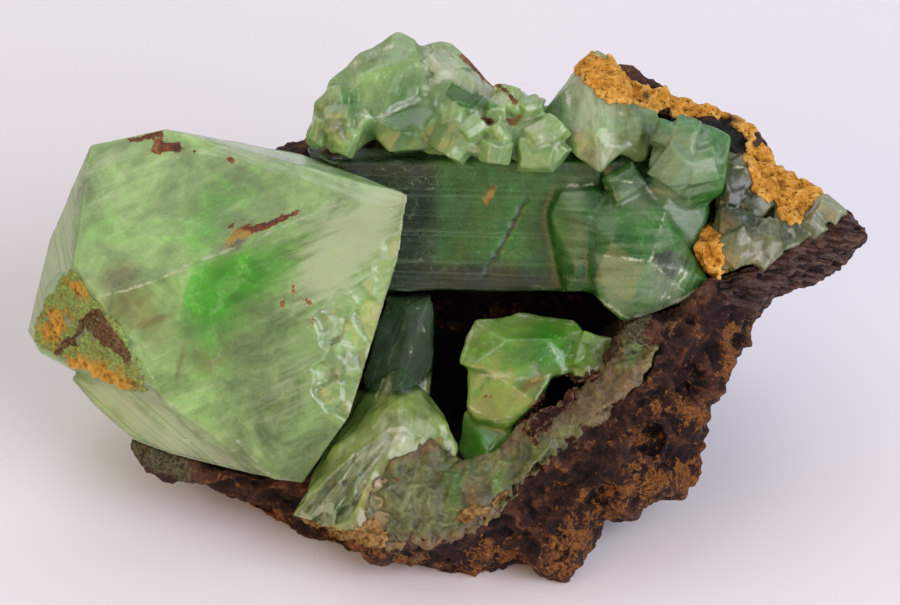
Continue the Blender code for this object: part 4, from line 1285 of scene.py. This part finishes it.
class SPECIMEN_OT_vug_crystal(bpy.types.Operator):
    """Builds the bright green crystal that stands in the hollow"""

    bl_idname = "specimen.vug_crystal"
    bl_label = "Vug Crystal"

    def execute(self, context):
        sizes, colours = context.scene.specimen_sizes, context.scene.crystal_colours
        material = anglesite(
            "anglesite_bright_green", linear("#90bd58"), tuple(colours.bright), linear("#c2d69c"),
            linear("#94803a"), linear("#90dc60"), 40.0, rough=0.18, clear=0.45, cloud=3.5, worn=0.6,
            blocky=0.12, block=2.6, wispy=0.12, mottled=0.22,
        )
        piece, edges = crystal_from(
            "vug_crystal", "vug_block", sizes.small_cell, sizes.edge_wear, bend=0.25, rounding=4, swell=0.15,
            fill=0.6,
            blocks=(([(13.0, 26.0), (16.2, 25.4), (16.4, 23.0), (13.6, 22.4)], 3, 3.0, 3.8, 2, 0.6, 0.1),),
        )
        settle_crystals(
            piece, edges, "bright_green_anglesite", ("vug_crystal",), material,
            hearts=(
                (10.5, 25.0, 2.6, 1.3), (6.5, 24.0, 2.0, 0.6), (4.5, 20.0, 2.0, 0.5), (3.0, 15.0, 2.4, 1.0),
            ),
            milks=(
                (2.5, 25.5, 1.6, 0.4), (15.5, 24.0, 1.6, 0.4), (5.6, 21.9, 3.4, 0.5, -8, 0.6),
                (6.0, 27.6, 4.0, 0.5, 10, 0.35), (4.5, 18.4, 3.0, 0.4, -5, 0.4),
            ),
            tints=(
                (8.5, 21.0, 1.8, 0.6, 30, 0.8), (6.5, 22.5, 1.0, 0.5), (3.0, 22.5, 1.2, 0.4),
                (9.5, 19.5, 1.5, 0.5),
            ),
            stains=(
                ((3.3, 19.7), (6.3, 19.4), 0.0), ((8.6, 21.3), (9.9, 21.7), 0.0),
                ((8.0, 18.6), (9.6, 19.3), 0.05),
            ),
            glints=(
                *line((1.2, 23.2), (2.6, 27.4), (7.4, 28.2), (13.2, 27.2), width=0.02),
                *line((13.9, 23.2), (15.2, 22.4), (16.9, 23.8), (17.0, 25.4), width=0.06),
                *line((2.0, 18.6), (4.5, 17.2), (6.8, 17.6), width=0.02),
                *line((10.2, 24.2), (10.8, 24.6), width=0.1),
            ),
            run=(0.9, 0.3), striped=0.15,
        )
        return {"FINISHED"}


class SPECIMEN_OT_gossan(bpy.types.Operator):
    """Builds the broken rusty rock that carries the crystals"""

    bl_idname = "specimen.gossan"
    bl_label = "Gossan"

    def execute(self, context):
        sizes = context.scene.specimen_sizes
        piece = copy_of("gossan_matrix", "gossan_rock")
        remesh(piece, sizes.rock_cell)
        smooth(piece, 4)
        points, normals = points_of(piece), normals_of(piece)
        wing = wing_share(side_places(points))
        along = points @ np.array((BED_COS, BED_SIN * SIN, BED_SIN * COS))
        across = points @ np.array((-BED_SIN, BED_COS * SIN, BED_COS * COS))
        bedded = np.stack((along / 5, across, points @ OUTWARD), axis=1)
        lumps = heave(drifted(points, 2.5, 0.9), *ROCK_LUMPS) + 0.7
        beds = heave(bedded, *WING_BEDS) + heave(points, (0.6, 0.2)) + 0.2
        heights = 0.2 + lumps * (1 - 0.6 * wing) + beds * wing
        heights -= np.clip(heave(points, (PIT_SIZE, 1.0)) - PIT_LEVEL, 0, 1) * PIT_DEPTH
        points = points + normals * heights[:, None] * MM
        points[:, 2] = np.maximum(points[:, 2], 0.0)
        set_points(piece, points)
        shape(piece, "DECIMATE", ratio=ROCK_KEPT)
        points = points_of(piece)
        places, front, out = side_places(points), facing(piece), outness(points)
        vug_side = [(-4, 32), (18, 32), (19, 29), (13, 20), (5, 15.5), (0, 15.5), (-5, 20)]
        # Painted shade: near black deep in the crystal hollow, and darker on the shaded left of the flank and
        # on the wing's shaded face.
        hollow = zones(places, ((vug_side, 2.0, 1.0),)) * np.clip((4.5 - out) / 2, 0, 1) * (out > -20)
        hollow += zones(places, ((14.7, 13.0, 3.0, 0.5), (31.5, 30.0, 2.6, 0.5))) * front
        ochre = zones(places, (
            (23.5, 18.5, 3.2, 1.4, -20, 0.65), (27.0, 17.6, 1.8, 0.6), (20.8, 11.0, 4.4, 2.0, 25, 0.75),
            (25.5, 10.0, 2.2, 0.6), (12.5, 3.5, 2.6, 0.85), (19.5, 15.6, 2.4, 1.0, 10, 0.45),
            (-18.6, 6.8, 2.2, 0.9, -10, 1.2), (29.3, 23.0, 0.9, 3.6, 0, 0.9), (5.0, 3.0, 5.0, 1.2, -15, 0.7),
            (-24.0, 11.0, 2.0, 0.5, -30, 0.6), (33.0, 28.0, 5.0, 1.2, 30, 0.5),
            (-8.0, 3.0, 6.0, 1.2, -15, 0.8), (16.0, 8.0, 3.0, 0.5), (2.0, 1.0, 5.0, 1.2, -5, 0.7),
        ))
        druse_side = [
            (1, 8), (7, 12.5), (12, 18), (18, 26), (21, 28.5), (19.5, 25), (13, 17.5), (6.5, 10), (2, 6),
        ]
        film = zones(places, (
            (druse_side, 1.4, 0.6), (-6.0, 5.0, 3.0, 0.6), (19.0, 27.0, 3.0, 0.6), (26.5, 31.0, 1.5, 0.4),
            (-29.5, 12.5, 2.8, 1.6, -30, 1.2), (-33.0, 14.0, 2.0, 1.0), (-17.5, 8.8, 1.4, 0.4, 0, 0.6),
        ))
        # proud drives the painted light on proud parts and the painted shade in the rock's hollows.
        paint(
            piece, proud=proudness(piece, 8), ochre=(ochre - 0.3) * front - 0.12 * (1 - front),
            layered=wing_share(places), film=film * front - 0.2, hollow=hollow,
            slate=np.where(front > 0.2, depth_in(places, SLATE_ROCK), OFF_MARK),
        )
        piece.data.materials.append(gossan())
        place(piece, "gossan", "gossan_matrix")
        return {"FINISHED"}


def skin_over(name, sources, outlines, thickness, cell, heights, wrap=0.0, lowest=-0.25, core=None):
    """A crust that follows what lies under these outlines: the faces there are copied from the finished
    pieces, given this thickness above and below in metres, and remeshed into one skin, together with the CAD
    node that is its core. Heights are its relief and wrap carries it past the outline, in millimetres. No
    face that is turned further away than lowest is copied."""
    piece, *others = [duplicate(bpy.data.objects[source]) for source in sources]
    if others:
        join(piece, others)
    set_free(piece, name)
    for layer in [layer.name for layer in piece.data.attributes if layer.name in PAINTED]:
        piece.data.attributes.remove(piece.data.attributes[layer])
    points = points_of(piece)
    places, front = side_places(points), evened(piece, normals_of(piece), 8) @ OUTWARD
    depth = np.max([depth_in(places, outline) for outline in outlines], axis=0)
    depth += heave(points, (1.8, 0.7), (0.7, 0.35)) + wrap
    delete_points(piece, np.flatnonzero((depth < 0) | (front < lowest) | (outness(points) < CRUST_BACK)))
    shape(piece, "SOLIDIFY", thickness=thickness * 2, offset=0.0)
    if core:
        join(piece, [copy_of(core, "core")])
    remesh(piece, cell)
    smooth(piece, 3)
    raise_by(piece, heave(points_of(piece), *heights))
    return piece


def settle_crust(piece, material, thin=0.0, marked=0.0):
    """Paints where a crust is thin or has a second mineral, gives it its material, and settles it."""
    # proud drives the painted light on proud parts and the painted shade in the crust's hollows.
    paint(piece, proud=proudness(piece, 6), thin=thin, marked=marked)
    piece.data.materials.append(material)
    place(piece, "gossan")


class SPECIMEN_OT_druse_crust(bpy.types.Operator):
    """Builds the crust of olive crystals along the lower edge of the hollow"""

    bl_idname = "specimen.druse_crust"
    bl_label = "Druse Crust"

    def execute(self, context):
        sizes, colours = context.scene.specimen_sizes, context.scene.crystal_colours
        material = anglesite(
            "anglesite_druse", tuple(colours.druse), linear("#3d6a28"), linear("#8c9666"), linear("#6b5230"),
            linear("#8ea060"), 150.0, rough=0.5, clear=0.08, cloud=3.0, worn=0.0, relief=0.4, grainy=0.35,
            mottled=0.28, blocky=0.25, block=1.2, wispy=0.1, bright="#a9ad80",
        )
        piece = skin_over(
            "druse_olive", ("gossan_rock", "foot_glassy", "vug_block"), (DRUSE_SKIN,),
            thickness=sizes.crust * 0.9, cell=0.2 * MM, heights=((3.0, 0.7), (1.3, 0.45), (0.6, 0.3)),
            core="druse_crust",
        )
        border = 0.6 * np.clip(1.0 - depth_in(side_places(points_of(piece)), DRUSE_SKIN) / 1.4, 0, 1)
        settle_crystals(
            piece, NO_EDGES, "olive_crust", ("druse_crust",), material,
            hearts=((1.5, 10.5, 2.6, 0.9), (5.0, 12.5, 2.0, 0.6), (18.0, 24.0, 2.5, 0.5)),
            milks=((-4.0, 8.0, 2.6, 0.4), (11.0, 16.0, 2.6, 0.3), (6.0, 13.0, 2.0, 0.8, 45, 0.4)),
            tints=(
                border, (3.0, 7.5, 2.5, 0.8), (16.0, 20.5, 4.0, 0.8), (8.0, 12.0, 2.4, 1.0, 45, 0.6),
                (-3.0, 4.5, 6.0, 0.9, -4, 1.0), (-2.6, 14.2, 2.0, 0.7, 30, 0.7),
                (-8.6, 9.0, 0.7, 3.0, 0, 0.7),
            ),
            stains=(
                ((-8.6, 5.2), (-1.0, 4.4), -0.1), ((4.0, 7.4), (9.0, 12.0), -0.35),
                ((-6.0, 10.6), (-5.4, 11.0), 0.0),
            ),
            run=(0.6, 0.8), striped=0.0,
        )
        return {"FINISHED"}


class SPECIMEN_OT_limonite_crusts(bpy.types.Operator):
    """Builds the orange limonite along the rim and on the right wall"""

    bl_idname = "specimen.limonite_crusts"
    bl_label = "Limonite Crusts"

    def execute(self, context):
        sizes = context.scene.specimen_sizes
        piece = skin_over(
            "limonite_rim", ("gossan_rock", "top_right_peak", "wall_slab", "bridge_prism"),
            (RIM_LIMONITE, WALL_LIMONITE), thickness=sizes.crust * 1.2, cell=0.19 * MM,
            heights=((1.8, 0.16), (0.8, 0.14), (0.4, 0.14)), wrap=0.35, lowest=-0.45,
        )
        pitted = (20.8, 51.6, 1.0, 0.5), (30.0, 49.0, 1.4, 0.6), (37.0, 38.8, 1.2, 0.4)
        settle_crust(
            piece, earthy_crust("limonite_orange", "#80500f", "#c68a2a", "#e6b660", "#3d2412", 0.32, 0.58),
            marked=zones(side_places(points_of(piece)), pitted),
        )
        return {"FINISHED"}


class SPECIMEN_OT_crystal_crusts(bpy.types.Operator):
    """Builds the mossy crust on the main crystal, and the porous strip and tan crust in the hollow"""

    bl_idname = "specimen.crystal_crusts"
    bl_label = "Crystal Crusts"

    def execute(self, context):
        sizes = context.scene.specimen_sizes
        mossy = skin_over(
            "mossy_crust", ("main_crystal_body",), (MOSSY_CRUST,), thickness=sizes.crust * 0.8,
            cell=0.17 * MM, heights=((2.6, 0.5), (1.1, 0.3), (0.5, 0.22), (0.3, 0.14)),
        )
        places = side_places(points_of(mossy))
        crack = reach(wandering(places, 0.25, 3.0), MOSSY_CRACK[:-1], MOSSY_CRACK[1:])
        raise_by(mossy, -0.6 * groove(crack, 0.3))
        thick = (
            (-42.0, 27.0, 2.2, 1.4, 50, 0.9), (-37.5, 22.0, 4.0, 1.4, -20, 1.1),
            (-39.0, 31.0, 1.6, 0.7, -40, 0.8),
        )
        settle_crust(
            mossy,
            earthy_crust(
                "limonite_mossy", "#6a5420", "#b5903a", "#dcae50", "#2a1610", 0.36, 0.66, "#8fb264", "#6e4c38"
            ),
            thin=0.85 - zones(places, thick),
            marked=zones(places, ((MOSSY_PURPLE, 0.6, 0.8),)) + 1.2 * groove(crack, 0.35),
        )
        porous = skin_over(
            "porous_strip", ("druse_olive", "vug_block"), (POROUS_STRIP,), thickness=sizes.crust,
            cell=0.17 * MM, heights=((1.6, -0.9), (0.8, -0.7), (0.45, 0.25)),
        )
        settle_crust(
            porous, earthy_crust("gossan_porous", "#150808", "#40231f", "#74503e", "#0a0404", 0.4, 0.58)
        )
        tan = skin_over(
            "tan_crust", ("druse_olive", "gossan_rock", "foot_glassy"), TAN_CRUSTS,
            thickness=sizes.crust * 1.1, cell=0.17 * MM, heights=((1.6, 0.3), (0.7, -0.4), (0.4, 0.15)),
        )
        settle_crust(
            tan, earthy_crust("limonite_tan", "#4e361d", "#87683a", "#b0905c", "#33241a", 0.4, 0.62), thin=0.3
        )
        return {"FINISHED"}


# ---------------------------------------------------------------- stage


def soft_light(name, place_at, size, power, colour):
    """A square soft box aimed at the specimen."""
    data = bpy.data.lights.new(name, "AREA")
    data.size = size
    data.energy = power
    data.color = colour[:3]
    light = bpy.data.objects.new(name, data)
    bpy.context.scene.collection.objects.link(light)
    light.location = place_at
    light.rotation_mode = "QUATERNION"
    light.rotation_quaternion = (Vector(LIGHT_AIM) - Vector(place_at)).to_track_quat("-Z", "Y")


class SPECIMEN_OT_stage(bpy.types.Operator):
    """Lays the pale floor, and sets the soft lights and the camera"""

    bl_idname = "specimen.stage"
    bl_label = "Stage"

    def execute(self, context):
        scene, settings = context.scene, context.scene.stage_settings
        bpy.ops.object.select_all(action="DESELECT")
        bpy.ops.mesh.primitive_plane_add(size=3.0)
        floor = bpy.context.view_layer.objects.active
        floor.name = "floor"
        material, tree = new_material("floor_paper")
        surface = add(
            tree, "BsdfPrincipled",
            {"Base Color": tuple(settings.floor), "Roughness": 0.7, "Specular IOR Level": 0.2}
        )
        add(tree, "OutputMaterial", {"Surface": surface})
        floor.data.materials.append(material)
        scene.world = bpy.data.worlds.new("studio")
        scene.world.use_nodes = True
        sky = scene.world.node_tree.nodes["Background"]
        sky.inputs["Color"].default_value = linear("#f0ecfb")
        sky.inputs["Strength"].default_value = settings.ambient
        soft_light("key", (-0.34, 0.2, 0.56), 0.6, settings.key_power, linear("#fffdee"))
        soft_light("back", (0.05, 0.5, 0.5), 0.6, settings.back_power, linear("#f4f4ff"))
        soft_light("warm", (-0.4, -0.45, 0.25), 0.5, settings.warm_power, linear("#ffc678"))
        soft_light("fill", (0.45, -0.35, 0.35), 0.6, settings.fill_power, linear("#fbf6ff"))
        camera = bpy.data.cameras.new("camera")
        camera.lens = LENS
        camera.sensor_width = SENSOR
        camera.clip_end = 10
        holder = bpy.data.objects.new("camera", camera)
        scene.collection.objects.link(holder)
        outward = Vector(OUTWARD)
        up = (FOOT_ROW - PICTURE_HEIGHT / 2) / PIXELS_PER_MM
        target = Vector((0, up * SIN - REST_BACK, up * COS)) * MM
        holder.location = target + outward * (PICTURE_WIDTH / PIXELS_PER_MM / SENSOR * LENS * MM)
        holder.rotation_mode = "QUATERNION"
        holder.rotation_quaternion = (-outward).to_track_quat("-Z", "Y")
        scene.camera = holder
        scene.view_settings.view_transform = "Standard"
        return {"FINISHED"}


class SPECIMEN_PT_panel(bpy.types.Panel):
    """Lists the settings and the steps"""

    bl_idname = "SPECIMEN_PT_panel"
    bl_label = "Anglesite Specimen"
    bl_space_type = "VIEW_3D"
    bl_region_type = "UI"
    bl_category = "Specimen"

    def draw(self, context):
        for name, group in SETTINGS.items():
            box = self.layout.box()
            for setting in group.__annotations__:
                box.prop(getattr(context.scene, name), setting)
        for step in STEPS:
            self.layout.operator(step.bl_idname)


SETTINGS = {
    "specimen_sizes": SpecimenSizes,
    "crystal_colours": CrystalColours,
    "rock_colours": RockColours,
    "stage_settings": StageSettings,
}
STEPS = (
    SPECIMEN_OT_main_crystal,
    SPECIMEN_OT_bridge_crystals,
    SPECIMEN_OT_top_crystals,
    SPECIMEN_OT_wall_crystals,
    SPECIMEN_OT_foot_crystals,
    SPECIMEN_OT_vug_crystal,
    SPECIMEN_OT_gossan,
    SPECIMEN_OT_druse_crust,
    SPECIMEN_OT_limonite_crusts,
    SPECIMEN_OT_crystal_crusts,
    SPECIMEN_OT_stage,
)


def register():
    for cls in (*SETTINGS.values(), *STEPS, SPECIMEN_PT_panel):
        bpy.utils.register_class(cls)
    for name, group in SETTINGS.items():
        setattr(bpy.types.Scene, name, bpy.props.PointerProperty(type=group))


def unregister():
    for name in SETTINGS:
        delattr(bpy.types.Scene, name)
    for cls in (SPECIMEN_PT_panel, *reversed(STEPS), *reversed(SETTINGS.values())):
        bpy.utils.unregister_class(cls)


def main():
    register()
    for step in STEPS:
        group, name = step.bl_idname.split(".")
        getattr(getattr(bpy.ops, group), name)()


if __name__ == "__main__":
    main()
